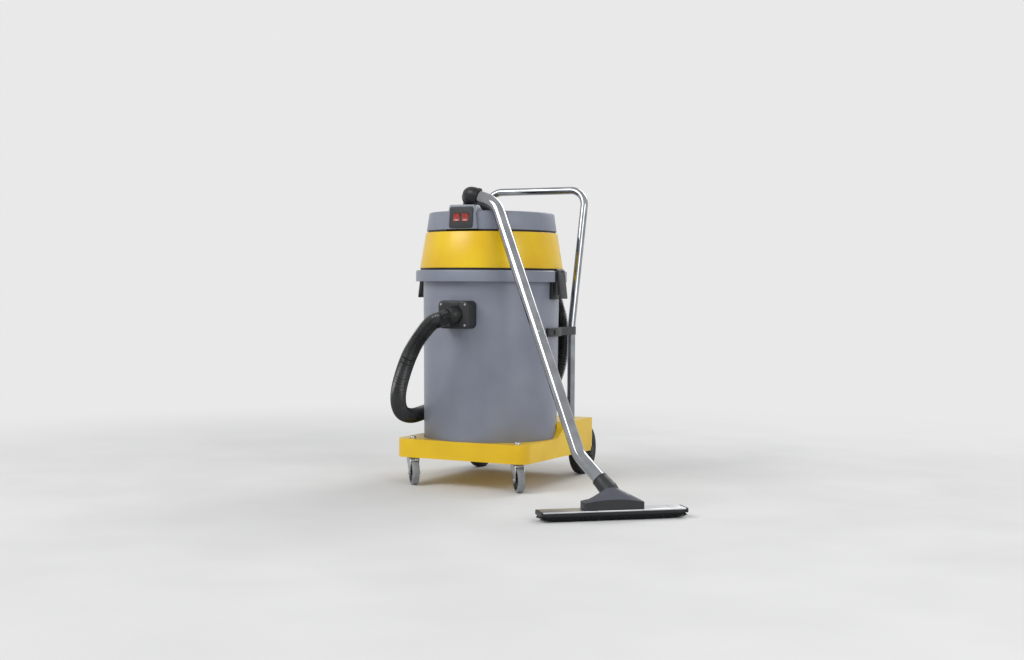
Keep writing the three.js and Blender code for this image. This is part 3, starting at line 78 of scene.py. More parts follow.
print("tank axis:", round(axis_x, 4), round(axis_y, 4))

# %% [markdown]
# ## Camera
# The photograph was taken from the front right, at about the height of the tank's rim, so the lines
# of the rim and of the cap open upwards and downwards by nearly as much. A lens of 48.6 mm on a
# 36 mm frame gives that perspective. The camera's back axis is built from its turn round the
# machine, then its small pitch and roll.

# %% Camera
turn, pitch, roll = (math.radians(value) for value in (26.01, -1.72, 0.43))
level_right = Vector((math.cos(turn), math.sin(turn), 0))
level_forward = Vector((-math.sin(turn), math.cos(turn), 0))
up_axis = Vector((0, 0, 1))
forward = level_forward * math.cos(pitch) + up_axis * math.sin(pitch)
level_up = up_axis * math.cos(pitch) - level_forward * math.sin(pitch)
right = level_right * math.cos(roll) + level_up * math.sin(roll)
above = level_up * math.cos(roll) - level_right * math.sin(roll)

camera_data = bpy.data.cameras.new("Camera")
camera_data.lens = 48.62
camera_data.sensor_width = 36
camera_data.dof.use_dof = False
camera = bpy.data.objects.new("Camera", camera_data)
bpy.context.scene.collection.objects.link(camera)
camera.matrix_world = Matrix.Translation(spot(1995.1, -3936.6, 615)) @ Matrix(
    (right, above, -forward)).transposed().to_4x4()
bpy.context.scene.camera = camera
print("camera at", tuple(round(value, 3) for value in camera.matrix_world.translation))

# %% [markdown]
# ## The first tools
# An operator works on whatever is selected, and the solids are selected when they arrive, so each
# piece starts by selecting nothing. A finished piece has its modifiers applied and its object left
# at the origin, unturned, so its place is in its mesh.

# %% Selecting and applying
def deselect():
    """Leave edit mode and select nothing."""
    if bpy.context.object and bpy.context.object.mode != "OBJECT":
        bpy.ops.object.mode_set(mode="OBJECT")
    bpy.ops.object.select_all(action="DESELECT")


def pick(piece):
    """Make one piece the only selected one."""
    deselect()
    piece.select_set(True)
    bpy.context.view_layer.objects.active = piece


def select_where(piece, wanted):
    """Enter edit mode with just the points selected whose place passes a test."""
    pick(piece)
    bpy.ops.object.mode_set(mode="EDIT")
    bpy.ops.mesh.select_all(action="DESELECT")
    bpy.ops.object.mode_set(mode="OBJECT")
    for point in piece.data.vertices:
        point.select = wanted(point.co)
    bpy.ops.object.mode_set(mode="EDIT")


def apply_modifiers(piece):
    """Apply a piece's modifiers in their order."""
    pick(piece)
    for modifier in list(piece.modifiers):
        bpy.ops.object.modifier_apply(modifier=modifier.name)


def outward(piece):
    """Merge doubled points, then turn every face outwards."""
    pick(piece)
    bpy.ops.object.mode_set(mode="EDIT")
    bpy.ops.mesh.select_all(action="SELECT")
    bpy.ops.mesh.remove_doubles(threshold=WELD)
    bpy.ops.mesh.normals_make_consistent(inside=False)
    bpy.ops.object.mode_set(mode="OBJECT")


def stand(piece, place, direction):
    """Turn a piece made about +Z to a direction, put it at a place, and apply both."""
    pick(piece)
    piece.rotation_mode = "QUATERNION"
    piece.rotation_quaternion = up_axis.rotation_difference(Vector(direction))
    piece.location = place
    bpy.ops.object.transform_apply(location=True, rotation=True, scale=True)
    return piece


# %% [markdown]
# ## Colours and shader nodes
# A colour is written as the hex value that a screen shows, and one function turns it to the linear
# values that a shader works in. One more function adds a node, sets its settings and joins its
# inputs, so each finish below reads as a short list.

# %% Colours and nodes
def colour(code):
    """The linear colour of an sRGB hex value."""
    shares = [int(code[i:i + 2], 16) / 255 for i in (1, 3, 5)]
    linear = [s / 12.92 if s <= 0.04045 else ((s + 0.055) / 1.055) ** 2.4 for s in shares]
    return (*linear, 1)


def add_node(material, kind, inputs=None, **settings):
    """Add a node; an input is either a value or the output that feeds it."""
    tree = material.node_tree
    made = tree.nodes.new(kind)
    for name, value in settings.items():
        setattr(made, name, value)
    for name, value in (inputs or {}).items():
        if isinstance(value, bpy.types.NodeSocket):
            tree.links.new(value, made.inputs[name])
        else:
            made.inputs[name].default_value = value
    return made


def new_finish(name, **values):
    """An empty material with its one shader and the values that are the same all over it."""
    material = bpy.data.materials.new(name)
    material.use_nodes = True
    shader = material.node_tree.nodes["Principled BSDF"]
    for socket, value in values.items():
        shader.inputs[socket.replace("_", " ")].default_value = value
    return material, shader


def feed(material, shader, **outputs):
    """Join outputs to the shader's inputs of those names."""
    for socket, output in outputs.items():
        material.node_tree.links.new(output, shader.inputs[socket.replace("_", " ")])


def ramp_between(material, factor, low, high, start=0.35, end=0.65):
    """A smooth change from one hex colour to another."""
    ramp = add_node(material, "ShaderNodeValToRGB", {"Fac": factor})
    ramp.color_ramp.elements[0].position = start
    ramp.color_ramp.elements[0].color = colour(low)
    ramp.color_ramp.elements[1].position = end
    ramp.color_ramp.elements[1].color = colour(high)
    return ramp.outputs["Color"]


# %% [markdown]
# ## Moulded plastic
# The tank, the cap, the trolley, the latches and the hood are injection moulded polypropylene. The
# mould's fine spark-eroded grain softens the gloss, and the broad flow of the plastic leaves faint
# lighter and darker clouds. Use adds small scuffs, which show as a change of gloss. The grain on the
# real plastic is about 0.3 mm and would vanish at this distance, so it is drawn at 1.2 mm.

# %% Moulded plastic finishes
def moulded_plastic(name, dark, light, gloss_low, gloss_high, grain=1.2, relief=0.05, sheen=0.5):
    """Polypropylene from a grained mould, with flow clouds and scuffs."""
    material, shader = new_finish(name, IOR=1.49, Specular_IOR_Level=sheen)
    place = add_node(material, "ShaderNodeTexCoord").outputs["Object"]
    clouds = add_node(material, "ShaderNodeTexNoise",
                      {"Vector": place, "Scale": 1 / 0.16, "Detail": 3, "Roughness": 0.5})
    scuffs = add_node(material, "ShaderNodeTexNoise",
                      {"Vector": place, "Scale": 1 / 0.012, "Detail": 6, "Roughness": 0.7})
    pits = add_node(material, "ShaderNodeTexVoronoi",
                    {"Vector": place, "Scale": 1 / (grain * MM)})
    tint = ramp_between(material, clouds.outputs["Fac"], dark, light)
    gloss = add_node(material, "ShaderNodeMapRange", {
        "Value": scuffs.outputs["Fac"], "From Min": 0.3, "From Max": 0.7,
        "To Min": gloss_low, "To Max": gloss_high})
    bump = add_node(material, "ShaderNodeBump", {
        "Height": pits.outputs["Distance"], "Strength": relief, "Distance": 0.1 * MM})
    feed(material, shader, Base_Color=tint, Roughness=gloss.outputs["Result"],
         Normal=bump.outputs["Normal"])
    return material


grey_plastic = moulded_plastic("grey_polypropylene_moulded", "#7d8291", "#878c9a", 0.32, 0.46)
yellow_plastic = moulded_plastic("yellow_polypropylene_moulded", "#e6b80c", "#f0c818", 0.27, 0.34)
black_plastic = moulded_plastic("black_polypropylene_moulded", "#17181a", "#212326", 0.38, 0.6)
hood_plastic = moulded_plastic("slate_polypropylene_moulded", "#43464e", "#4e515a", 0.35, 0.55)
print("moulded plastics:", grey_plastic.name, yellow_plastic.name, black_plastic.name)

# %% [markdown]
# ## Hose plastic
# The hose is blown from soft black polyethylene. It is smoother than the mouldings, so each rib
# carries its own thin highlight, and dust sits in the roots between the ribs as a slight greying.

# %% Hose finish
hose_plastic, shader = new_finish("black_polyethylene_blown", IOR=1.5, Specular_IOR_Level=0.55)
place = add_node(hose_plastic, "ShaderNodeTexCoord").outputs["Object"]
dust = add_node(hose_plastic, "ShaderNodeTexNoise",
                {"Vector": place, "Scale": 1 / 0.05, "Detail": 4, "Roughness": 0.6})
tint = ramp_between(hose_plastic, dust.outputs["Fac"], "#141517", "#25272a", 0.4, 0.75)
gloss = add_node(hose_plastic, "ShaderNodeMapRange", {
    "Value": dust.outputs["Fac"], "From Min": 0.3, "From Max": 0.7, "To Min": 0.2, "To Max": 0.34})
feed(hose_plastic, shader, Base_Color=tint, Roughness=gloss.outputs["Result"])

# %% [markdown]
# ## The suction hose
# The hose is a fixed length of ribbed tube, 48 mm across and about 2.2 m long. It leaves the tank by
# the cuff on the front, hangs round the left side, lies on the trolley's rear box, climbs behind the
# tank and comes over the cap to the wand's elbow. Its middle line is one smooth curve through the
# points of the CAD solids, in two stretches that meet behind the tank. A curve with a bevel could
# not have ribs, so the tube is made ring by ring along that line, wide on a rib and narrow between.

# %% Hose route
def straight(start, direction, distance):
    """The point this many millimetres from a start along a direction."""
    return start + direction.normalized() * distance


inlet_mouth = Vector((5, -262, 533))
inlet_heading = Vector((-0.493, -0.825, -0.276)).normalized()
cuff_end = straight(inlet_mouth, inlet_heading, 27)
wand_top = Vector((42.7, -189, 896.5))
wand_upper_bend = Vector((104.5, -180, 875.5))
wand_lower_bend = Vector((503, -456, 161))
wand_into = (wand_top - wand_upper_bend).normalized()
elbow_vertex = straight(wand_top, wand_into, 22)
elbow_heading = Vector((-0.438, 0.898, -0.25)).normalized()
elbow_end = straight(elbow_vertex, elbow_heading, 40)
hose_split = Vector((104, 289, 546))
split_heading = Vector((-0.29, 0, 0.96)).normalized()
lower_points = [
    straight(cuff_end, inlet_heading, 0.3), straight(cuff_end, inlet_heading, 24),
    straight(cuff_end, inlet_heading, 48),
    *(Vector(point) for point in (
        (-56, -352, 472), (-86, -363, 418), (-146, -325, 312), (-204, -222, 237),
        (-241, -90, 204), (-240, 42, 211), (-191, 155, 217.5), (-103, 236.5, 217),
        (-4, 278, 224), (82, 289, 292), (120, 289, 411))),
    straight(hose_split, split_heading, -33.6), hose_split]
upper_points = [
    hose_split, straight(hose_split, split_heading, 33.6),
    *(Vector(point) for point in (
        (49, 288, 672), (-25, 281, 780), (-83, 224, 858), (-101, 126, 888), (-74, 4, 884))),
    straight(elbow_end, elbow_heading, 48), straight(elbow_end, elbow_heading, 24),
    straight(elbow_end, elbow_heading, 0.3)]


def smooth_route(points, steps=40):
    """Points along the centripetal curve that passes through the given ones."""
    made = []
    for i in range(len(points) - 1):
        here, there = points[i], points[i + 1]
        before = points[i - 1] if i > 0 else here * 2 - there
        after = points[i + 2] if i + 2 < len(points) else there * 2 - here
        first, middle, last = (max(math.sqrt((b - a).length), 1e-4)
                               for a, b in ((before, here), (here, there), (there, after)))
        leave = ((here - before) / first - (there - before) / (first + middle)
                 + (there - here) / middle) * middle
        arrive = ((there - here) / middle - (after - here) / (middle + last)
                  + (after - there) / last) * middle
        for step in range(steps):
            s = step / steps
            made.append(here + leave * s + (there * 3 - here * 3 - leave * 2 - arrive) * s ** 2
                        + (here * 2 - there * 2 + leave + arrive) * s ** 3)
    made.append(points[-1].copy())
    return made


def even_route(points, spacing):
    """The same route at even spacing."""
    lengths = [0]
    for a, b in zip(points, points[1:]):
        lengths.append(lengths[-1] + (b - a).length)
    count = round(lengths[-1] / spacing)
    made, index = [], 0
    for step in range(count + 1):
        wanted = lengths[-1] * step / count
        while index < len(points) - 2 and lengths[index + 1] < wanted:
            index += 1
        share = (wanted - lengths[index]) / max(lengths[index + 1] - lengths[index], 1e-9)
        made.append(points[index].lerp(points[index + 1], min(share, 1)))
    return made, lengths[-1]


rib_pitch, steps_per_rib = 5, 5
route, hose_length = even_route(smooth_route(lower_points) + smooth_route(upper_points)[1:],
                                rib_pitch / steps_per_rib)
print("hose length:", round(hose_length), "mm in", len(route), "steps")

# %% Ribbed tube along the route
hose_radius, hose_root, hose_bore, hose_sides = 24, 20.8, 18.5, 32


def ribbed_tube(name, centres):
    """Rings along the route, wide on each rib, closed at both ends by the bore's edge."""
    heading = (centres[1] - centres[0]).normalized()
    across = heading.orthogonal().normalized()
    points, faces, sizes = [], [], []
    for i, centre in enumerate(centres):
        ahead = (centres[min(i + 1, len(centres) - 1)] - centres[max(i - 1, 0)]).normalized()
        across = heading.rotation_difference(ahead) @ across
        across = (across - ahead * across.dot(ahead)).normalized()
        heading = ahead
        beside = ahead.cross(across)
        wave = 0.5 + 0.5 * math.cos(math.tau * i / steps_per_rib)
        size = hose_root + (hose_radius - hose_root) * wave
        sizes.append((centre, across.copy(), beside, size))
    rings = [(c, a, b, hose_bore) for c, a, b, s in sizes[:1]] + sizes
    rings += [(c, a, b, hose_bore) for c, a, b, s in sizes[-1:]]
    for centre, a, b, size in rings:
        for side in range(hose_sides):
            angle = math.tau * side / hose_sides
            points.append(centre + (a * math.cos(angle) + b * math.sin(angle)) * size)
    for i in range(len(rings) - 1):
        for side in range(hose_sides):
            n = (side + 1) % hose_sides
            faces.append((i * hose_sides + side, i * hose_sides + n,
                          (i + 1) * hose_sides + n, (i + 1) * hose_sides + side))
    last = (len(rings) - 1) * hose_sides
    faces.append(tuple(range(hose_sides - 1, -1, -1)))
    faces.append(tuple(range(last, last + hose_sides)))
    mesh = bpy.data.meshes.new(name)
    mesh.from_pydata([spot(*point) for point in points], [], faces)
    piece = bpy.data.objects.new(name, mesh)
    bpy.context.scene.collection.objects.link(piece)
    return piece


hose = ribbed_tube("hose", route)
outward(hose)
bpy.ops.object.shade_smooth_by_angle(angle=math.radians(60))
hose.data.materials.append(hose_plastic)
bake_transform(hose)
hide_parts("hose_lower", "hose_upper")
print("hose faces:", len(hose.data.polygons))

# %% [markdown]
# ## Turned pieces
# Tanks, wheels and caps are round, so each one starts as a half outline of radius and height. A
# plane is merged to one point, that point is extruded along the outline, and the outline is spun
# once round. Where the spin meets itself the doubled points are merged before the faces are turned
# outwards. A bevel then gives each edge the small round that the mould gives it.

# %% Turning, softening and cutting
def traced(name, points, closed):
    """One point extruded from place to place, left in edit mode and all selected."""
    deselect()
    bpy.ops.mesh.primitive_plane_add(size=MM)
    piece = bpy.context.object
    piece.name = name
    bpy.ops.object.mode_set(mode="EDIT")
    bpy.ops.mesh.merge(type="CENTER")
    bpy.ops.transform.translate(value=points[0])
    if closed:
        points = [*points, points[0]]
    for here, there in zip(points, points[1:]):
        bpy.ops.mesh.extrude_region_move(TRANSFORM_OT_translate={"value": there - here})
    bpy.ops.mesh.select_all(action="SELECT")
    bpy.ops.mesh.remove_doubles(threshold=WELD)
    return piece


def turned(name, outline, sides=96, ring=False):
    """An outline of (radius, height) spun round +Z at the origin."""
    points = [Vector((radius * MM, 0, height * MM)) for radius, height in outline]
    piece = traced(name, points, ring)
    bpy.ops.mesh.spin(steps=sides, angle=math.tau, center=(0, 0, 0), axis=(0, 0, 1))
    outward(piece)
    return piece


def on_tank_axis(piece):
    """Put a turned piece on the tank's axis."""
    return stand(piece, spot(0, 0, 0), (0, 0, 1))


def soften(piece, width, segments=3, angle=30):
    """Round the edges sharper than an angle, by a width in millimetres."""
    pick(piece)
    rounding = piece.modifiers.new("Rounded edges", "BEVEL")
    rounding.width = width * MM
    rounding.segments = segments
    rounding.limit_method = "ANGLE"
    rounding.angle_limit = math.radians(angle)
    apply_modifiers(piece)
    return piece


def cut(piece, *tools, operation="DIFFERENCE"):
    """Cut a piece with others, or join or cross it with them."""
    for tool in tools:
        pick(piece)
        knife = piece.modifiers.new("Cut", "BOOLEAN")
        knife.operation = operation
        knife.solver = "EXACT"
        knife.object = tool
        bpy.ops.object.modifier_apply(modifier=knife.name)
        bpy.data.objects.remove(tool)
    return piece


def joined(piece, *others):
    """Make several closed shells one piece."""
    pick(piece)
    for other in others:
        other.select_set(True)
    bpy.ops.object.join()
    return piece


def prism(name, corners, depth):
    """A flat outline of places, filled and extruded by a vector in metres."""
    piece = traced(name, corners, True)
    bpy.ops.mesh.edge_face_add()
    bpy.ops.mesh.extrude_region_move(TRANSFORM_OT_translate={"value": depth})
    outward(piece)
    return piece


def block(name, low, high):
    """A box between two corners in millimetres."""
    deselect()
    low, high = spot(*low), spot(*high)
    bpy.ops.mesh.primitive_cube_add(size=1, location=(low + high) / 2)
    piece = bpy.context.object
    piece.name = name
    piece.scale = high - low
    bpy.ops.object.transform_apply(location=True, rotation=True, scale=True)
    return piece


def arc(x, y, radius, start, end, steps=10):
    """Points in millimetres along an arc, given its centre and its angles in degrees."""
    return [(x + radius * math.cos(math.radians(start + (end - start) * i / steps)),
             y + radius * math.sin(math.radians(start + (end - start) * i / steps)))
            for i in range(steps + 1)]


def rounded_rectangle(x0, x1, y0, y1, low_round, high_round=None, steps=10):
    """An outline with one radius at its low corners and one at its high corners."""
    high_round = low_round if high_round is None else high_round
    return [*arc(x0 + low_round, y0 + low_round, low_round, 180, 270, steps),
            *arc(x1 - low_round, y0 + low_round, low_round, 270, 360, steps),
            *arc(x1 - high_round, y1 - high_round, high_round, 0, 90, steps),
            *arc(x0 + high_round, y1 - high_round, high_round, 90, 180, steps)]


def dress(piece, body, finish, slot, *nodes, smooth=35):
    """Give a piece its finish, its body and the solids that it stands for."""
    pick(piece)
    bpy.ops.object.shade_smooth_by_angle(angle=math.radians(smooth))
    if finish is not None:
        piece.data.materials.clear()
        piece.data.materials.append(finish)
    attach(piece, body)
    if nodes:
        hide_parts(*nodes)
    print(piece.name, "->", body, len(piece.data.polygons), "faces")
    return piece


def eased(node, width, segments=2, angle=30):
    """A merged copy of a solid whose flat faces are whole again and whose edges are rounded."""
    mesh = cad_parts[node].data.copy()
    mesh.materials.clear()
    piece = bpy.data.objects.new(node + "_finished", mesh)
    bpy.context.scene.collection.objects.link(piece)
    outward(piece)
    bpy.ops.object.mode_set(mode="EDIT")
    bpy.ops.mesh.select_all(action="SELECT")
    bpy.ops.mesh.remove_doubles(threshold=0.01 * MM)
    bpy.ops.mesh.dissolve_limited(angle_limit=math.radians(0.6))
    bpy.ops.object.mode_set(mode="OBJECT")
    return soften(piece, width, segments, angle)


# %% [markdown]
# ## The tank
# The tank is one deep moulding with a rounded foot and a hollow rim that turns down over its wall.
# It is turned from its outline, inside and outside, then the rim is notched on both sides, where the
# latches hang. Turning gives the even round wall that a mould gives.

# %% Tank
tank = turned("tank_shell", [
    (0, 122.3), (0, 118.3), (197, 118.3), (203, 119.6), (207.6, 123), (210.2, 127.5), (211, 132.3),
    (213.5, 384), (216, 633.4), (216, 666.5), (236, 666.5), (236, 635.4), (240, 635.4),
    (240, 667.5), (237, 670.5), (212, 670.5), (207, 132.3), (197, 122.3)], 160, True)
soften(tank, 0.9, 2, 40)
on_tank_axis(tank)
cut(tank, block("left_notch", (-270, -33.5, 600), (-220, 33.5, 700)),
    block("right_notch", (220, -33.5, 600), (270, 33.5, 700)))
dress(tank, "trolley", grey_plastic, "grey_plastic", "tank")

# %% [markdown]
# ## Inlet block and cuff
# The inlet is a separate black moulding screwed to the tank's front. Its back follows the round
# wall, its face is chamfered all round, and its socket slants down to the left, so that the hose
# hangs close to the tank. Two mould halves leave a seam down its face, and a screw holds each side.

# %% Inlet block
face = rounded_rectangle(-49, 55, 492, 577, 14)
inlet = prism("inlet_block_body", [spot(x, -262, z) for x, z in face], Vector((0, 66 * MM, 0)))
front_y = spot(0, -262, 0).y
select_where(inlet, lambda place: abs(place.y - front_y) < WELD)
bpy.ops.mesh.bevel(offset=6 * MM, segments=4, affect="EDGES")
bpy.ops.object.mode_set(mode="OBJECT")
wall = on_tank_axis(turned("wall_cutter", [(0, 460), (214.8, 460), (216.0, 610), (0, 610)], 160, True))
socket = stand(turned("socket_cutter", [(0, -15), (27.9, -15), (27.9, 60), (0, 60)], 64, True),
               spot(*inlet_mouth), inlet_heading)
cut(inlet, wall, socket, block("seam_cutter", (22.4, -264, 480), (23.6, -260.8, 590)))
dress(inlet, "trolley", black_plastic, "black_plastic", "inlet_block")

# %% Inlet screws
inlet_screws = []
for x, z in ((-38, 503), (44, 503), (-38, 566), (44, 566)):
    screw = turned("inlet_screw", [(0, 0), (1.1, 0), (1.1, 0.9), (3.2, 1.2), (3.4, 0), (3.4, -2), (0, -2)],
                   24, True)
    inlet_screws.append(stand(screw, spot(x, -262.2, z), (0, -1, 0)))
print("inlet screws:", len(inlet_screws))

# %% Cuff
cuff = turned("inlet_cuff_body", [
    (18.5, 0.3), (27.4, 0.3), (27.4, 27), (26.6, 29), (25.2, 30.4), (25.2, 37), (26.2, 39),
    (27.4, 39.8), (27.4, 42), (18.5, 42)], 64, True)
soften(cuff, 0.4, 2, 40)
stand(cuff, spot(*straight(inlet_mouth, inlet_heading, -15)), inlet_heading)

# %% [markdown]
# ## Rubber, metal and paper
# The cuffs and tyres are rubber, dull and slightly powdery. The handle and the wand are steel tube
# with bright chrome, so they are nearly mirrors with faint lengthwise polishing lines; here their colour
# is set darker than bright chrome, as painted shade for the dark surroundings that they reflect. The
# forks and bolts are zinc plated, the tool's bar is extruded aluminium with lines along its length, and
# the filter is pleated paper.

# %% Rubber finishes
def rubber(name, dark, light, gloss, grain=2.0):
    """Vulcanised rubber with a powdery bloom and a fine pebbled skin."""
    material, shader = new_finish(name, IOR=1.52, Specular_IOR_Level=0.35)
    place = add_node(material, "ShaderNodeTexCoord").outputs["Object"]
    bloom = add_node(material, "ShaderNodeTexNoise",
                     {"Vector": place, "Scale": 1 / 0.03, "Detail": 5, "Roughness": 0.65})
    skin = add_node(material, "ShaderNodeTexNoise", {"Vector": place, "Scale": 1 / (grain * MM)})
    tint = ramp_between(material, bloom.outputs["Fac"], dark, light)
    rough = add_node(material, "ShaderNodeMapRange", {
        "Value": bloom.outputs["Fac"], "To Min": gloss - 0.1, "To Max": gloss + 0.1})
    bump = add_node(material, "ShaderNodeBump", {
        "Height": skin.outputs["Fac"], "Strength": 0.15, "Distance": 0.2 * MM})
    feed(material, shader, Base_Color=tint, Roughness=rough.outputs["Result"],
         Normal=bump.outputs["Normal"])
    return material


cuff_rubber = rubber("black_rubber_moulded", "#101113", "#1c1d1f", 0.42)
tyre_rubber = rubber("black_tyre_rubber", "#17181a", "#27292c", 0.68)
grey_tyre_rubber = rubber("grey_tyre_rubber", "#7c7e81", "#95979a", 0.62)

# %% Metal finishes
def plated(name, dark, light, gloss_low, gloss_high, stretch, relief=0.02):
    """A metal whose polishing or drawing lines run along one axis."""
    material, shader = new_finish(name, Metallic=1.0)
    place = add_node(material, "ShaderNodeTexCoord").outputs["Object"]
    drawn = add_node(material, "ShaderNodeMapping", {"Vector": place, "Scale": stretch})
    lines = add_node(material, "ShaderNodeTexNoise",
                     {"Vector": drawn.outputs["Vector"], "Scale": 1, "Detail": 4})
    clouds = add_node(material, "ShaderNodeTexNoise", {"Vector": place, "Scale": 1 / 0.06})
    tint = ramp_between(material, clouds.outputs["Fac"], dark, light)
    rough = add_node(material, "ShaderNodeMapRange", {
        "Value": lines.outputs["Fac"], "From Min": 0.3, "From Max": 0.7,
        "To Min": gloss_low, "To Max": gloss_high})
    bump = add_node(material, "ShaderNodeBump", {
        "Height": lines.outputs["Fac"], "Strength": relief, "Distance": 0.05 * MM})
    feed(material, shader, Base_Color=tint, Roughness=rough.outputs["Result"],
         Normal=bump.outputs["Normal"])
    return material


# The chrome's colours are darker than real chrome: painted shade standing for the dark surroundings that the
# tubes reflect.
chrome = plated("chrome_plated_steel_tube", "#8b8e92", "#a0a3a7", 0.05, 0.12, (600, 600, 20))
zinc = plated("zinc_plated_steel", "#a2a5aa", "#bcbfc3", 0.28, 0.46, (300, 300, 300))
motor_metal = plated("pressed_aluminium_motor_can", "#9a9b9d", "#aeb0b2", 0.35, 0.5, (400, 400, 40))
aluminium = plated("extruded_aluminium", "#bcbec0", "#cfd1d3", 0.26, 0.42, (30, 30, 900), 0.05)

# %% Red switch plastic, filter paper and bristle
switch_red, shader = new_finish("red_nylon_switch", IOR=1.53, Specular_IOR_Level=0.6)
place = add_node(switch_red, "ShaderNodeTexCoord").outputs["Object"]
wear = add_node(switch_red, "ShaderNodeTexNoise", {"Vector": place, "Scale": 1 / 0.008, "Detail": 4})
tint = ramp_between(switch_red, wear.outputs["Fac"], "#8e241b", "#a63023")
rough = add_node(switch_red, "ShaderNodeMapRange", {
    "Value": wear.outputs["Fac"], "To Min": 0.2, "To Max": 0.36})
feed(switch_red, shader, Base_Color=tint, Roughness=rough.outputs["Result"])

filter_paper, shader = new_finish("pleated_filter_paper", IOR=1.45, Specular_IOR_Level=0.2,
                                  Roughness=0.9)
place = add_node(filter_paper, "ShaderNodeTexCoord").outputs["Object"]
fibres = add_node(filter_paper, "ShaderNodeTexNoise",
                  {"Vector": place, "Scale": 1 / 0.002, "Detail": 6, "Roughness": 0.7})
tint = ramp_between(filter_paper, fibres.outputs["Fac"], "#d6cfbd", "#ece6d8")
bump = add_node(filter_paper, "ShaderNodeBump", {
    "Height": fibres.outputs["Fac"], "Strength": 0.3, "Distance": 0.2 * MM})
feed(filter_paper, shader, Base_Color=tint, Normal=bump.outputs["Normal"])

bristle, shader = new_finish("black_nylon_bristle", IOR=1.53, Specular_IOR_Level=0.4, Roughness=0.55)
place = add_node(bristle, "ShaderNodeTexCoord").outputs["Object"]
shade = add_node(bristle, "ShaderNodeTexNoise", {"Vector": place, "Scale": 1 / 0.003, "Detail": 3})
tint = ramp_between(bristle, shade.outputs["Fac"], "#0d0e0f", "#222427")
feed(bristle, shader, Base_Color=tint)
print("finishes:", len(bpy.data.materials))

# %% Dress the inlet's small pieces
dress(cuff, "trolley", cuff_rubber, "black_rubber", "inlet_cuff")
for screw in inlet_screws:
    dress(screw, "trolley", zinc, "zinc_steel")

# %% [markdown]
# ## Trolley base
# The trolley is one yellow moulding: a low deck with a well for the tank, and a raised box behind it
# that covers the rear wheels. Its side view is extruded across the machine, crossed with its plan
# so that the corners are round, and every upper edge is rounded. A smaller copy of the same form is
# taken out of it from below, which leaves a wall of 5 mm, and the well is a cup inside that.

# %% Trolley base body
deck_height, box_height, base_half_width, base_front, base_rear = 144, 190, 226, -217, 320
base_wall, base_round, skirt_front, skirt_rise = 5, 8, 87, 7
caster_x, caster_y, caster_radius, caster_trail = 182, -178, 37.5, 24
upright_x, upright_y = 183, 222
rear_wheel_x, rear_wheel_y, rear_wheel_radius, axle_cap_x = 190.5, 304, 82.5, 208.6


def base_form(inset):
    """The base's outside, or its inside, from its side view and its plan."""
    deck, top, rear = deck_height - inset, box_height - inset, base_rear - inset
    rise_start, rise_end = 8 + inset, 104 + inset
    rise = []
    for i in range(17):
        s = i / 16
        reach = (rise_end - rise_start) / 3
        weights = ((1 - s) ** 3, 3 * s * (1 - s) ** 2, 3 * s ** 2 * (1 - s), s ** 3)
        places = (rise_start, rise_start + reach, rise_end - reach, rise_end)
        heights = (deck, deck, top, top)
        rise.append((sum(w * p for w, p in zip(weights, places)),
                     sum(w * h for w, h in zip(weights, heights))))
    side = [(-240, 40), (-240, deck), *rise, *reversed(arc(rear - 26, top - 26, 26, 0, 90)), (rear, 40)]
    half = base_half_width - inset
    form = prism("trolley_form", [spot(-240, y, z) for y, z in side], Vector((480 * MM, 0, 0)))
    plan = rounded_rectangle(-half, half, base_front + inset, rear, 38 - inset, 24 - inset, 12)
    return cut(form, prism("plan", [spot(x, y, 20) for x, y in plan], Vector((0, 0, 200 * MM))),
               operation="INTERSECT")


base = base_form(0)
base.name = "trolley_moulding"
soften(base, base_round, 5, 40)
cut(base, base_form(base_wall))
print("base shell:", len(base.data.polygons), "faces")

# %% Well, bosses and wheel pockets
well = on_tank_axis(turned("well_cup", [
    (0, 114), (216.2, 114), (216.2, 141), (0, 141)], 160, True))
rear_cup = on_tank_axis(turned("rear_cup", [(0, 114), (216.2, 114), (216.2, 187), (0, 187)], 160, True))
cut(rear_cup, block("front_half", (-300, -300, 100), (300, 60, 220)))
additions = [well, rear_cup]
for side in (-1, 1):
    boss = turned("caster_boss", [(0, 84), (21, 84), (21, 141), (0, 141)], 32, True)
    additions.append(stand(boss, spot(side * caster_x, caster_y, 0), (0, 0, 1)))
    foot = turned("handle_boss", [(0, 144.7), (17.5, 144.7), (17.5, 187), (0, 187)], 32, True)
    additions.append(stand(foot, spot(side * upright_x, upright_y, 0), (0, 0, 1)))
    low_x, high_x = sorted((side * 159.5, side * 164.5))
    additions.append(block("pocket_wall", (low_x, 191, 60), (high_x, 317, 187)))
cut(base, *additions, operation="UNION")
print("base with its bosses:", len(base.data.polygons), "faces")

# %% Openings of the base
openings = [on_tank_axis(turned("well_bore", [(0, 118), (212.2, 118), (212.2, 260), (0, 260)], 160, True))]
slope = math.atan(skirt_rise / (base_rear - base_front))
openings.append(block("below_skirt", (-300, -300, 0), (300, 400, 70)))
for side in (-1, 1):
    for radius, start, reach in ((12.3, 206, 35), (8.3, 147, 30)):
        bore = turned("axle_hole", [(0, 0), (radius, 0), (radius, reach), (0, reach)], 48, True)
        openings.append(stand(bore, spot(side * start, rear_wheel_y, rear_wheel_radius), (side, 0, 0)))
        low_x, high_x = sorted((side * start, side * (start + reach)))
        openings.append(block("axle_slot", (low_x, rear_wheel_y - radius, 60),
                              (high_x, rear_wheel_y + radius, rear_wheel_radius)))
    for radius, x, y, z in ((5.3, caster_x, caster_y, 60), (12.8, upright_x, upright_y, 149.7)):
        hole = turned("upright_hole", [(0, 0), (radius, 0), (radius, 160), (0, 160)], 32, True)
        openings.append(stand(hole, spot(side * x, y, z), (0, 0, 1)))
cut(base, *openings)
pick(base)
bpy.ops.object.mode_set(mode="EDIT")
bpy.ops.mesh.select_all(action="SELECT")
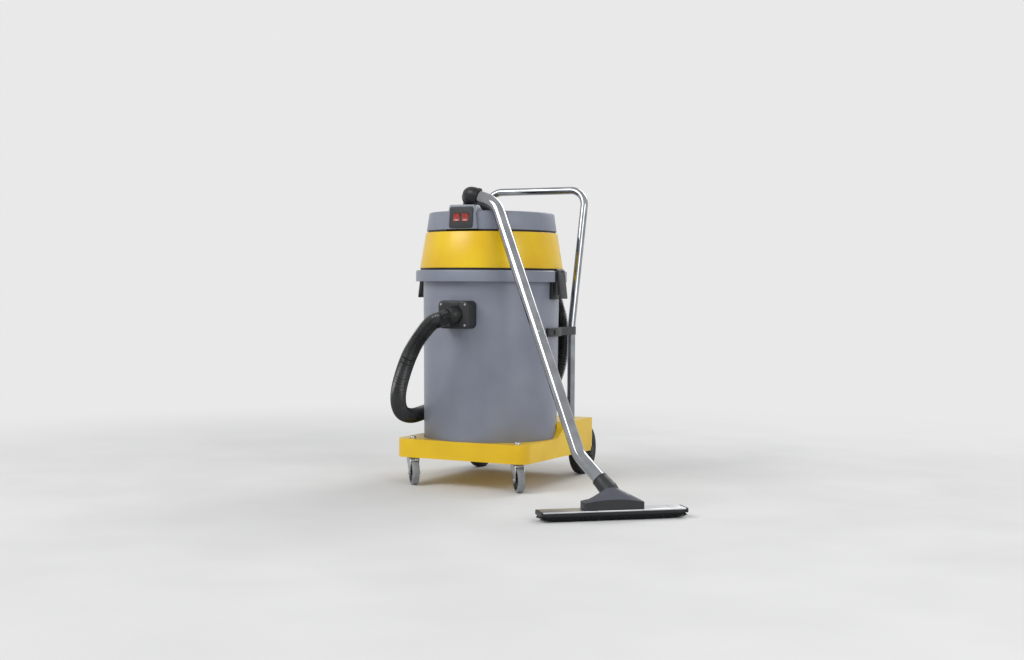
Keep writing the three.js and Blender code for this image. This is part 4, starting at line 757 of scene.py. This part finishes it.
bpy.ops.mesh.bisect(plane_co=spot(0, base_front, skirt_front), plane_no=(0, math.sin(slope), math.cos(slope)),
                    clear_inner=True, use_fill=True)
bpy.ops.object.mode_set(mode="OBJECT")
outward(base)
dress(base, "trolley", yellow_plastic, "yellow_plastic", "trolley_base", smooth=30)

# %% [markdown]
# ## Tubes with bends
# The handle and the wand are steel tubes bent on a machine, straight between their bends and round
# in them. A circle is extruded to where a bend begins, spun round the bend's centre, and extruded
# on. The wall comes last, so it has the same thickness everywhere.

# %% Bent tube
def bent_tube(name, corners, bends, radius, wall, sides=48):
    """A tube along corners in millimetres, with a bend radius at each inner corner."""
    deselect()
    corners = [spot(*corner) for corner in corners]
    heading = (corners[1] - corners[0]).normalized()
    bpy.ops.mesh.primitive_circle_add(vertices=sides, radius=radius * MM)
    piece = bpy.context.object
    piece.name = name
    stand(piece, corners[0], heading)
    bpy.ops.object.mode_set(mode="EDIT")
    bpy.ops.mesh.select_all(action="SELECT")
    reached = corners[0]
    for i, bend in enumerate(bends, start=1):
        corner = corners[i]
        back = (corners[i - 1] - corner).normalized()
        ahead = (corners[i + 1] - corner).normalized()
        half = back.angle(ahead) / 2
        reach, out = bend * MM / math.tan(half), bend * MM / math.sin(half)
        entry, leave = corner + back * reach, corner + ahead * reach
        centre = corner + (back + ahead).normalized() * out
        bpy.ops.mesh.extrude_region_move(TRANSFORM_OT_translate={"value": entry - reached})
        arc_angle = math.pi - half * 2
        bpy.ops.mesh.spin(steps=max(4, round(math.degrees(arc_angle) / 5)), angle=-arc_angle,
                          center=centre, axis=(entry - centre).cross(leave - centre).normalized())
        reached = leave
    bpy.ops.mesh.extrude_region_move(TRANSFORM_OT_translate={"value": corners[-1] - reached})
    outward(piece)
    thickness = piece.modifiers.new("Wall", "SOLIDIFY")
    thickness.thickness = wall * MM
    thickness.offset = -1
    apply_modifiers(piece)
    return piece


handle_foot, handle_knee, handle_top, handle_lean = 150, 494, 945, 0.2425
handle_top_y = upright_y + (handle_top - handle_knee) * handle_lean
left_side = [(-upright_x, upright_y, handle_foot), (-upright_x, upright_y, handle_knee),
             (-upright_x, handle_top_y, handle_top)]
right_side = [(-x, y, z) for x, y, z in reversed(left_side)]
handle = bent_tube("push_handle_tube", left_side + right_side, [160, 55, 55, 160], 12.5, 1.5)
dress(handle, "trolley", chrome, "chrome_tube", "push_handle")

# %% [markdown]
# ## Stays and latches
# Two black stays clasp the tank and reach back to the handle. Each side latch has a plate on the
# tank, a pin, and a lever that hangs down. Their solids already have the right form, so a merged
# copy of each gets the small rounded edges that catch the light on a real moulding.

# %% Stays and latches
for hand in ("left", "right"):
    dress(eased(f"handle_stay_{hand}", 1.2, 3), "trolley", black_plastic, "black_plastic",
          f"handle_stay_{hand}")
    dress(eased(f"latch_plate_{hand}", 0.8), "trolley", black_plastic, "black_plastic",
          f"latch_plate_{hand}")
    dress(eased(f"latch_lever_{hand}", 1.0, 3), f"latch_{hand}", black_plastic, "black_plastic",
          f"latch_lever_{hand}")
    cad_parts[f"latch_pin_{hand}"].data.materials.clear()
    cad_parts[f"latch_pin_{hand}"].data.materials.append(zinc)

# %% [markdown]
# ## The motor head
# The head is a stack: a soft seal, a black plate, the yellow band that slopes inwards, and the grey
# cap. The dark line below the band is a real gap between the mouldings, so it is left as a gap. The
# one above it is painted shadow: the faces of the grey cap's step there get the black plastic.
# The cooling slots are cut through the band at the rear.

# %% Seal, plate and band
seal = on_tank_axis(turned("seal_ring", [
    (213, 670.8), (226, 670.8), (226, 673.6), (213, 673.6)], 128, True))
dress(soften(seal, 0.6, 3), "head", cuff_rubber, "black_rubber", "head_seal")
plate = turned("head_plate_ring", [
    (22, 673.9), (225.6, 673.9), (225.6, 676.7), (219.6, 676.7), (217.9, 690.7), (213.9, 690.7),
    (213.9, 680.9), (22, 680.9)], 160, True)
dress(on_tank_axis(soften(plate, 0.5, 2, 40)), "head", black_plastic, "black_plastic", "head_plate")
band = turned("motor_band_ring", [
    (223.6, 677), (227.6, 677), (209, 789), (195, 789), (195, 785), (205.7, 785)], 160, True)
on_tank_axis(soften(band, 1.2, 3, 40))
for i in range(9):
    slot_cutter = block("slot_cutter", (-3, 193, 704), (3, 258, 762))
    pick(slot_cutter)
    bpy.ops.object.mode_set(mode="EDIT")
    bpy.ops.mesh.select_all(action="SELECT")
    bpy.ops.transform.rotate(value=math.radians((i - 4) * 6), orient_axis="Z",
                             center_override=spot(0, 0, 733))
    bpy.ops.object.mode_set(mode="OBJECT")
    cut(band, slot_cutter)
dress(band, "head", yellow_plastic, "yellow_plastic", "motor_band")

# %% Top cap
cap = turned("top_cap_shell", [
    (0, 848), (190, 848), (199, 789.3), (203, 789.3), (203, 795), (206.6, 795), (199, 847),
    (197.6, 850.4), (194, 852), (0, 852)], 160, True)
on_tank_axis(soften(cap, 0.8, 2, 40))
housing_room = prism("housing_room", [spot(x, -183.7, z) for x, z in (
    (-55.3, 785), (55.3, 785), (55.3, 795), (44.3, 870.3), (-44.3, 870.3), (-55.3, 795))],
    Vector((0, -70 * MM, 0)))
cut(cap, housing_room)
dress(cap, "head", grey_plastic, "grey_plastic", "top_cap")
# Painted shadow: the faces of the step under the cap get the black plastic, standing for the shade in the gap
# above the band.
cap.data.materials.append(black_plastic)
painted_shadow_top = 795.4
for polygon in cap.data.polygons:
    if polygon.center.z < painted_shadow_top * MM:
        polygon.material_index = 1

# %% Gland
gland_turn = math.radians(52)
gland_out = Vector((math.cos(gland_turn), math.sin(gland_turn), 0))
gland_slant = (gland_out + Vector((0, 0, 18.6 / 112))).normalized()
gland_radius = 227.6 - (712 - 677) * 18.6 / 112
gland = turned("cable_gland_body", [
    (0, 0.6), (14, 0.6), (14, 4), (9, 6), (8.6, 9), (9, 9.8), (8.6, 10.6), (8, 13), (8.4, 13.8),
    (8, 14.6), (7.4, 17), (7.8, 17.8), (7.4, 18.6), (6.8, 26), (3.8, 26), (3.8, 8), (0, 8)], 48, True)
stand(gland, spot(*(gland_out * gland_radius + Vector((0, 0, 712)))), gland_slant)
dress(gland, "head", cuff_rubber, "black_rubber", "cable_gland")

# %% [markdown]
# ## Switch housing
# The switches sit in a grey housing on the front of the cap. It flares towards its foot and its face
# leans back by about five degrees. A black panel with rounded corners is let on to that face, and
# two red rockers stand in it, one for each motor. Each rocker is a slice of a cylinder with a
# dished face, which is why it is drawn from its side view.

# %% Housing
housing = eased("switch_housing", 2.2, 4, 40)
dress(housing, "head", grey_plastic, "grey_plastic", "switch_housing")
face_lean = math.atan(7 / 75)
face_y = -(209 - 7 * (830.5 - 795) / 75)


def on_face(piece):
    """Move a piece drawn flat, with +Y up the face and +Z outwards, on to the housing's face."""
    pick(piece)
    piece.rotation_euler = (math.pi / 2 - face_lean, 0, 0)
    piece.location = spot(0, face_y, 830.5)
    bpy.ops.object.transform_apply(location=True, rotation=True, scale=True)
    return piece


def flat_prism(name, outline, low, high):
    """An outline in millimetres, extruded between two heights at the origin."""
    return prism(name, [Vector((x * MM, y * MM, low * MM)) for x, y in outline],
                 Vector((0, 0, (high - low) * MM)))


# %% Panel
panel = flat_prism("switch_panel_plate", rounded_rectangle(-40, 40, -33, 33, 7), 0.3, 3.3)
soften(panel, 0.9, 3, 40)
windows = [flat_prism("window", rounded_rectangle(x - 11.05, x + 11.05, -13.1, 13.1, 1), -5, 9)
           for x in (-15, 15)]
cut(panel, *windows)
dress(on_face(panel), "head", black_plastic, "black_plastic", "switch_panel")

# %% Rockers
for hand, x in (("left", -15), ("right", 15)):
    proud = 6.6
    edge = math.sqrt(12.8 ** 2 - proud ** 2)
    rear = math.sqrt(12.8 ** 2 - 10 ** 2)
    from_angle, to_angle = math.atan2(edge, proud), math.atan2(rear, -10)
    upper = [(12.8 * math.cos(a), 12.8 * math.sin(a)) for a in (
        from_angle + (to_angle - from_angle) * i / 12 for i in range(13))]
    dish = [(4.2 + 2.4 * (y / edge) ** 2, y) for y in (edge * i / 6 for i in range(-5, 6))]
    lower = [(out, -up) for out, up in reversed(upper)]
    outline = [*lower, *dish, *upper]
    rocker = prism(f"rocker_{hand}_key", [
        Vector(((x - 10.75) * MM, up * MM, out * MM)) for out, up in outline], Vector((21.5 * MM, 0, 0)))
    pick(rocker)
    rocker.rotation_euler = (math.radians(7), 0, 0)
    bpy.ops.object.transform_apply(location=True, rotation=True, scale=True)
    soften(rocker, 0.5, 2, 40)
    dress(on_face(rocker), f"rocker_{hand}", switch_red, "switch_red", f"rocker_{hand}")

# %% [markdown]
# ## Wand and elbow
# The wand is two chromed tubes that slip together, with a bend at each end. A spring button in the
# lower tube holds the joint. At the top a rubber elbow with a raised collar ties it to the hose, and
# the wand turns in that elbow.

# %% Wand
wand_up = (wand_upper_bend - wand_lower_bend).normalized()
joint_place = straight(wand_upper_bend, wand_up, -487)
tool_turn = math.radians(40.5)
tool_back = Vector((-math.sin(tool_turn), math.cos(tool_turn), 0))
collar_axis = (tool_back * math.sin(math.radians(40)) + up_axis * math.cos(math.radians(40)))
collar_centre = Vector((623, -504, 67)) + tool_back * 20
neck_vertex = straight(collar_centre, collar_axis, 8)
neck_up = (wand_lower_bend - neck_vertex).normalized()
upper_wand = bent_tube("wand_upper_tube", [
    straight(wand_top, wand_into, 2), wand_upper_bend, joint_place], [75], 19, 1.5, 64)
lower_wand = bent_tube("wand_lower_tube", [
    straight(joint_place, wand_up, -0.3), wand_lower_bend, straight(neck_vertex, neck_up, 22.3)],
    [75], 19, 1.5, 64)
spigot = turned("wand_spigot", [
    (15.4, 0), (18.3, 0), (18.3, 3), (16.6, 3), (16.6, 60), (15.4, 60)], 64, True)
stand(spigot, spot(*straight(joint_place, wand_up, -3.3)), wand_up)
button_out = Vector((0.438, -0.898, 0.03))
button_out = (button_out - wand_up * button_out.dot(wand_up)).normalized()
button_place = straight(joint_place, wand_up, 14)
for tube_piece in (upper_wand, spigot):
    hole = turned("button_hole", [(0, 6), (4.5, 6), (4.5, 30), (0, 30)], 32, True)
    cut(tube_piece, stand(hole, spot(*button_place), button_out))
joined(lower_wand, spigot)
button = turned("button_pin", [
    (0, 8), (4.2, 8), (4.2, 19.6), (3.9, 20.6), (3.2, 21.2), (2, 21.5), (0, 21.6)], 32, True)
stand(button, spot(*button_place), button_out)
dress(upper_wand, "wand", chrome, "chrome_tube", "wand_upper")
dress(lower_wand, "wand", chrome, "chrome_tube", "wand_lower")
dress(button, "lock_button", zinc, "zinc_steel", "lock_button")

# %% Elbow
elbow = bent_tube("hose_elbow_body", [
    straight(wand_top, wand_into, -8), elbow_vertex, elbow_end], [20], 24, 4.6, 64)
collar = turned("elbow_collar", [
    (19.5, 0), (24.6, 0), (26, 1.2), (26, 7.8), (24.6, 9), (19.5, 9)], 64, True)
stand(collar, spot(*elbow_end), -elbow_heading)
mouth_ring = turned("elbow_mouth_ring", [
    (19.5, 0), (24.6, 0), (26, 1.2), (26, 6.4), (24.6, 7.6), (19.5, 7.6)], 64, True)
stand(mouth_ring, spot(*straight(wand_top, wand_into, -8)), wand_into)
dress(joined(elbow, collar, mouth_ring), "head", cuff_rubber, "black_rubber", "hose_elbow")

# %% [markdown]
# ## Floor tool
# The tool is an aluminium bar with two brush strips under it, black end caps, and a grey hood that
# runs from a long foot up to a round collar. The hood is drawn as rings, each a circle squared off
# to its own length and depth, and the rings are bridged. Its foot is a black band with an arched top.

# %% Neck
neck = bent_tube("tool_neck_body", [
    straight(collar_centre, collar_axis, 0.3), neck_vertex, straight(neck_vertex, neck_up, 45)],
    [27], 25.5, 6.1, 64)
neck_start, neck_length, neck_taper, outer_skin = spot(*neck_vertex), 45 * MM, 0.15, 22 * MM
for point in neck.data.vertices:
    along = (point.co - neck_start).dot(neck_up)
    centre = neck_start + neck_up * along
    if along > 0 and (point.co - centre).length > outer_skin:
        point.co = centre + (point.co - centre) * (1 - neck_taper * min(along / neck_length, 1))
neck_spigot = turned("neck_spigot", [
    (15, -17.7), (21.7, -17.7), (21.7, 1.5), (15, 1.5)], 64, True)
stand(neck_spigot, spot(*collar_centre), collar_axis)
neck_lip = turned("neck_lip", [
    (19.5, 0), (22, 0), (22.6, 0.8), (22.6, 4.2), (22, 5), (19.5, 5)], 64, True)
stand(neck_lip, spot(*straight(neck_vertex, neck_up, 40.2)), neck_up)
dress(joined(neck, neck_spigot, neck_lip), "wand", black_plastic, "black_plastic", "tool_neck")


# %% Hood
def tool_spot(x, y, z):
    """A place in the tool's own millimetres: x along its bar, y towards its back."""
    return spot(623 + x * math.cos(tool_turn) - y * math.sin(tool_turn),
                -504 + x * math.sin(tool_turn) + y * math.cos(tool_turn), z)


hood_foot, band_side, band_rise, hood_half_length = 28.3, 19, 9, 85


def arched(along_bar):
    """The height of the black band's top at a place along the bar."""
    return hood_foot + band_side + band_rise * (1 - (along_bar / hood_half_length) ** 2)


def hood_ring(share, grow=0):
    """One ring of the hood: 0 at the arched band, 1 at the collar, below 0 at the foot."""
    deselect()
    bpy.ops.mesh.primitive_circle_add(vertices=96, radius=MM)
    ring = bpy.context.object
    tilt = math.radians(40)
    for i, point in enumerate(ring.data.vertices):
        angle = math.tau * i / 96
        square = [math.copysign(min(1, abs(v) * math.sqrt(2)), v) for v in (math.cos(angle), math.sin(angle))]
        x = square[0] * 75 + math.cos(angle) * (10 + grow)
        y = square[1] * 17 + math.sin(angle) * (10 + grow)
        arch = arched(x)
        if share < 0:
            place = Vector((x, y, hood_foot + (arch - hood_foot) * (1 + share)))
        else:
            across = 28 * math.sin(angle)
            round_place = Vector((28 * math.cos(angle), 20 + across * math.cos(tilt),
                                  67 - across * math.sin(tilt)))
            place = Vector((x, y, arch)).lerp(round_place, share ** 1.1)
            place.z = arch + (round_place.z - arch) * share
        point.co = tool_spot(*place)
    return ring


rings = [hood_ring(share, grow) for share, grow in (
    (-1, 0), (-0.5, 0), (-0.04, 0), (0, -0.9), (0.02, -1.4), (0.2, -1.4), (0.4, -1.4), (0.6, -1.4),
    (0.8, -1.4), (1, 0))]
hood = joined(*rings)
hood.name = "tool_hood_shell"
bpy.ops.object.mode_set(mode="EDIT")
bpy.ops.mesh.select_all(action="SELECT")
bpy.ops.mesh.bridge_edge_loops()
bpy.ops.mesh.select_all(action="DESELECT")
bpy.ops.mesh.select_non_manifold()
bpy.ops.mesh.edge_face_add()
bpy.ops.object.mode_set(mode="OBJECT")
outward(hood)
print("hood:", len(hood.data.polygons), "faces")

# %% Hood's black foot
dress(hood, "floor_tool", hood_plastic, "hood_plastic", "tool_hood")
hood.data.materials.append(black_plastic)
for polygon in hood.data.polygons:
    reach = polygon.center - tool_spot(0, 0, 0)
    along_bar = (reach.x * math.cos(tool_turn) + reach.y * math.sin(tool_turn)) / MM
    if polygon.center.z / MM < arched(along_bar) - 0.2:
        polygon.material_index = 1

# %% Bar and end caps
dress(eased("tool_bar", 0.7), "floor_tool", aluminium, "bar_aluminium", "tool_bar")
for hand in ("left", "right"):
    dress(eased(f"tool_end_cap_{hand}", 1.4, 4), "floor_tool", black_plastic, "black_plastic",
          f"tool_end_cap_{hand}")

# %% [markdown]
# ## Brush strips
# A brush strip is a plastic back with rows of nylon tufts. One strand is made as a thin four sided
# cone, arrays repeat it along the bar and across the strip, and then each strand's tip is moved a
# little, as real tufts part, and splayed outwards at the ends of the bar. Real bristle is 0.3 mm
# thick; it is drawn three times as thick so that it shows.

# %% Brushes
random.seed(4)
for name, hand in (("brush_front", -1), ("brush_rear", 1)):
    deselect()
    bpy.ops.mesh.primitive_cone_add(vertices=4, radius1=0.9 * MM, radius2=0.25 * MM, depth=15 * MM,
                                    rotation=(math.pi, 0, 0), location=(-199 * MM, 0, 7.6 * MM))
    strands = bpy.context.object
    bpy.ops.object.transform_apply(location=True, rotation=True, scale=True)
    for count, offset in ((240, (398 / 239 * MM, 0, 0)), (6, (0, 1.9 * MM, 0))):
        repeat = strands.modifiers.new("Rows", "ARRAY")
        repeat.count = count
        repeat.use_relative_offset = False
        repeat.use_constant_offset = True
        repeat.constant_offset_displace = offset
    apply_modifiers(strands)
    middle = hand * 19.8 - 4.75
    corners_each = 8
    points = strands.data.vertices
    for first in range(0, len(points), corners_each):
        lean_x, lean_y, lift = random.gauss(0, 0.7), random.gauss(0, 0.5), random.uniform(0, 0.8)
        shift_x = random.uniform(-0.5, 0.5)
        for index in range(first, first + corners_each):
            co = points[index].co
            x, y, z = co.x / MM, co.y / MM, co.z / MM
            depth = max(0, (15.1 - z) / 15)
            edge = min(abs(x) / 199, 1)
            x += shift_x + depth * (lean_x + math.copysign(8, x) * edge ** 8)
            x = max(-206, min(206, x))
            y += middle + depth * lean_y
            z += depth * (lift + 7.5 * edge ** 12)
            co.xyz = tool_spot(x, y, max(z, 0.1))
    back = flat_prism("brush_back", rounded_rectangle(-199.7, 199.7, -5.5, 5.5, 1), 14.7, 23.7)
    soften(back, 0.5, 2, 40)
    pick(back)
    back.rotation_euler = (0, 0, tool_turn)
    back.location = tool_spot(0, hand * 19.8, 0)
    bpy.ops.object.transform_apply(location=True, rotation=True, scale=True)
    brush = joined(strands, back)
    brush.name = name + "_strip"
    dress(brush, "floor_tool", bristle, "bristle", name)

# %% [markdown]
# ## Rear wheels
# The rear wheels turn on one steel axle and stand half inside the rear box. Each has a black tyre
# with a flat tread, a dished hub with ribs like spokes, and a cap on the axle's end.

# %% Rear wheels
def both_ways(half):
    """Half an outline and its mirror image about height 0."""
    return half + [(radius, -height) for radius, height in reversed(half)]


for hand, side in (("left", -1), ("right", 1)):
    centre = spot(side * rear_wheel_x, rear_wheel_y, rear_wheel_radius)
    tyre = turned(f"rear_tyre_{hand}_ring", both_ways([
        (63.5, -17.5), (74, -17.5), (78.5, -16.2), (81.4, -13.6), (82.5, -10.5), (82.5, -5),
        (81.6, -4.4), (81.6, -3.6), (82.5, -3)]), 96, True)
    dress(stand(tyre, centre, (side, 0, 0)), f"rear_wheel_{hand}", tyre_rubber, "black_tyre",
          f"rear_tyre_{hand}")
    hub = turned(f"rear_hub_{hand}_disc", both_ways([
        (8.3, -17.5), (16, -17.5), (17.5, -11), (52, -10.5), (57, -16.8), (63.2, -17.5)]), 96, True)
    spokes = []
    for i in range(6):
        deselect()
        bpy.ops.mesh.primitive_cube_add(size=1, location=(0, 0, 0))
        spoke = bpy.context.object
        spoke.scale = (39 * MM, 5 * MM, 30 * MM)
        spoke.location = (35 * MM, 0, 0)
        bpy.ops.object.transform_apply(location=True, rotation=True, scale=True)
        spoke.rotation_euler = (0, 0, math.tau * i / 6)
        bpy.ops.object.transform_apply(location=True, rotation=True, scale=True)
        spokes.append(soften(spoke, 1, 2, 40))
    dress(stand(joined(hub, *spokes), centre, (side, 0, 0)), f"rear_wheel_{hand}", black_plastic,
          "black_plastic", f"rear_hub_{hand}")
    axle_cap = turned(f"axle_cap_{hand}_cup", [
        (8.3, 0), (12, 0), (12, 14.6), (11.2, 16), (9.6, 16.5), (0, 16.5), (0, 11.5), (8.3, 11.5)],
        48, True)
    stand(axle_cap, spot(side * axle_cap_x, rear_wheel_y, rear_wheel_radius), (side, 0, 0))
    dress(axle_cap, "trolley", black_plastic, "black_plastic", f"axle_cap_{hand}")

# %% [markdown]
# ## Front casters
# Each caster has a bolt through the deck, a pressed zinc fork, an axle, and a grey rubber tyre on a
# black hub. Both trail the same way in the photograph, as after a push from the right.

# %% Casters
trail_turn = -0.863
wheel_side = Vector((-math.sin(trail_turn), math.cos(trail_turn), 0))
for hand, side in (("left", -1), ("right", 1)):
    trail = Vector((side * caster_x + caster_trail * math.cos(trail_turn),
                    caster_y + caster_trail * math.sin(trail_turn), caster_radius))
    tyre = turned(f"caster_tyre_{hand}_ring", both_ways([
        (29.5, -11), (33.5, -11), (35.6, -10.2), (36.9, -8.6), (37.5, -6)]), 72, True)
    dress(stand(tyre, spot(*trail), wheel_side), f"caster_wheel_{hand}", grey_tyre_rubber,
          "grey_tyre", f"caster_tyre_{hand}")
    hub = turned(f"caster_hub_{hand}_disc", both_ways([
        (4.3, -11), (8, -11), (8.6, -7), (26, -6.6), (27.5, -10.6), (29.2, -11)]), 72, True)
    dress(stand(hub, spot(*trail), wheel_side), f"caster_wheel_{hand}", black_plastic,
          "black_plastic", f"caster_hub_{hand}")
    axle = turned(f"caster_axle_{hand}_pin", both_ways([
        (0, -18.8), (5, -18.8), (6.4, -17.6), (6.4, -15.8), (4, -15.8)]), 36, True)
    dress(stand(axle, spot(*trail), wheel_side), f"caster_{hand}", zinc, "zinc_steel",
          f"caster_axle_{hand}")
    dress(eased(f"caster_fork_{hand}", 0.9, 3), f"caster_{hand}", zinc, "zinc_steel",
          f"caster_fork_{hand}")
    stem = turned(f"caster_stem_{hand}_bolt", [
        (0, 74.7), (7, 74.7), (8, 75.7), (8, 79.7), (5, 79.7), (5, 83.3), (19, 83.3), (19, 86.7),
        (5, 86.7), (5, 144.3), (9.5, 144.3), (9.5, 147.4), (8.2, 149.4), (5.5, 150.3), (0, 150.3)],
        48, True)
    dress(stand(stem, spot(side * caster_x, caster_y, 0), (0, 0, 1)), "trolley", zinc, "zinc_steel",
          f"caster_stem_{hand}")

# %% [markdown]
# ## Inside the tank
# Lifting the head shows the filter and, inside it, the float cage and its ball. The paper is folded
# into 60 pleats, so its outline is a star that is extruded and bored. The motors stay under the
# band, so their solids are kept and given the look of a pressed can.

# %% Filter, float and motors
star = [(86 * math.cos(math.tau * i / 120) if i % 2 else 77 * math.cos(math.tau * i / 120),
         86 * math.sin(math.tau * i / 120) if i % 2 else 77 * math.sin(math.tau * i / 120))
        for i in range(120)]
filter_body = flat_prism("filter_pleats", star, 531, 673.6)
bore = turned("filter_bore", [(0, 500), (60, 500), (60, 700), (0, 700)], 64, True)
cut(filter_body, bore)
end_plate = turned("filter_end", [(60, 523.6), (86.3, 523.6), (86.3, 531.6), (60, 531.6)], 96, True)
soften(end_plate, 1.5, 3, 40)
dress(on_tank_axis(joined(filter_body, end_plate)), "head", filter_paper, "filter_paper",
      "filter_cartridge", smooth=20)
dress(eased("float_cage", 0.6), "head", black_plastic, "black_plastic", "float_cage")
deselect()
ball_low, ball_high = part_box("float_ball")
ball_centre, ball_radius, seam_radius = (ball_low + ball_high) / 2, 29, 28.4
bpy.ops.mesh.primitive_uv_sphere_add(segments=64, ring_count=32, radius=ball_radius * MM,
                                     location=ball_centre)
ball = bpy.context.object
ball.name = "float_ball_shell"
bpy.ops.object.transform_apply(location=True, rotation=True, scale=True)
for point in ball.data.vertices:
    if abs(point.co.z - ball_centre.z) < 0.4 * MM:
        point.co = ball_centre + (point.co - ball_centre) * (seam_radius / ball_radius)
dress(ball, "float", black_plastic, "black_plastic", "float_ball")
for node, finish in (("suction_motor_left", motor_metal), ("suction_motor_right", motor_metal),
                     ("rear_axle", zinc)):
    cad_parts[node].data.materials.clear()
    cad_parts[node].data.materials.append(finish)

# %% [markdown]
# ## Floor and light
# The machine stands on a plain pale floor. Three broad soft lamps light it as a studio would: a key
# from the front left, a fill from the right and a rim from behind, so that the chrome has something
# bright to show. Rays from the camera, and those that mirrors and glass send on, see a pale world,
# and the floor pales towards it with distance, so that no horizon shows.

# %% Rays that see the backdrop
def sees_backdrop(material):
    """1 for rays from the camera and for those that mirrors and glass send on, and else 0."""
    rays = add_node(material, "ShaderNodeLightPath").outputs
    sent_on = add_node(material, "ShaderNodeMath", {
        0: rays["Is Glossy Ray"], 1: rays["Is Transmission Ray"]}, operation="MAXIMUM")
    return add_node(material, "ShaderNodeMath", {
        0: rays["Is Camera Ray"], 1: sent_on.outputs["Value"]}, operation="MAXIMUM").outputs["Value"]


# %% Floor
pale = "#e9e9e9"
deselect()
bpy.ops.mesh.primitive_plane_add(size=40, location=(0, 0, 0))
floor = bpy.context.object
floor.name = "studio_floor"
floor_paint, shader = new_finish("pale_floor_paint", Roughness=0.75)
place = add_node(floor_paint, "ShaderNodeTexCoord").outputs["Object"]
speckle = add_node(floor_paint, "ShaderNodeTexNoise", {"Vector": place, "Scale": 1 / 0.4, "Detail": 2})
tint = ramp_between(floor_paint, speckle.outputs["Fac"], "#dcdcdb", "#e2e2e1")
feed(floor_paint, shader, Base_Color=tint)
reach = add_node(floor_paint, "ShaderNodeVectorMath", {0: place}, operation="LENGTH")
far = add_node(floor_paint, "ShaderNodeMapRange", {
    "Value": reach.outputs["Value"], "From Min": 1.1, "From Max": 3.4}, interpolation_type="SMOOTHSTEP")
paleness = add_node(floor_paint, "ShaderNodeMath", {
    0: sees_backdrop(floor_paint), 1: far.outputs["Result"]}, operation="MULTIPLY")
backdrop = add_node(floor_paint, "ShaderNodeEmission", {"Color": colour(pale), "Strength": 1})
floor_mix = add_node(floor_paint, "ShaderNodeMixShader", {
    0: paleness.outputs["Value"], 1: shader.outputs["BSDF"], 2: backdrop.outputs["Emission"]})
floor_output = floor_paint.node_tree.nodes["Material Output"]
floor_paint.node_tree.links.new(floor_mix.outputs["Shader"], floor_output.inputs["Surface"])
floor.data.materials.append(floor_paint)

# %% Lamps and world
for name, place, size, power in (
        ("key", (-2.4, -3.2, 3.6), 2.6, 120), ("fill", (3.6, -2.2, 2.0), 2.4, 60),
        ("rim", (0.6, 3.4, 3.2), 2.2, 70)):
    lamp_data = bpy.data.lights.new(name, "AREA")
    lamp_data.size = size
    lamp_data.energy = power
    lamp = bpy.data.objects.new(name, lamp_data)
    bpy.context.scene.collection.objects.link(lamp)
    lamp.location = place
    lamp.rotation_euler = (Vector((0, 0, 0.45)) - Vector(place)).to_track_quat("-Z", "Y").to_euler()
world = bpy.data.worlds.new("studio")
bpy.context.scene.world = world
world.use_nodes = True
world.node_tree.nodes.clear()
lit = add_node(world, "ShaderNodeBackground", {"Color": colour("#eef0f2"), "Strength": 0.45})
shown = add_node(world, "ShaderNodeBackground", {"Color": colour(pale), "Strength": 1})
world_mix = add_node(world, "ShaderNodeMixShader", {
    0: sees_backdrop(world), 1: lit.outputs["Background"], 2: shown.outputs["Background"]})
add_node(world, "ShaderNodeOutputWorld", {"Surface": world_mix.outputs["Shader"]})
bpy.context.scene.view_settings.view_transform = "Standard"
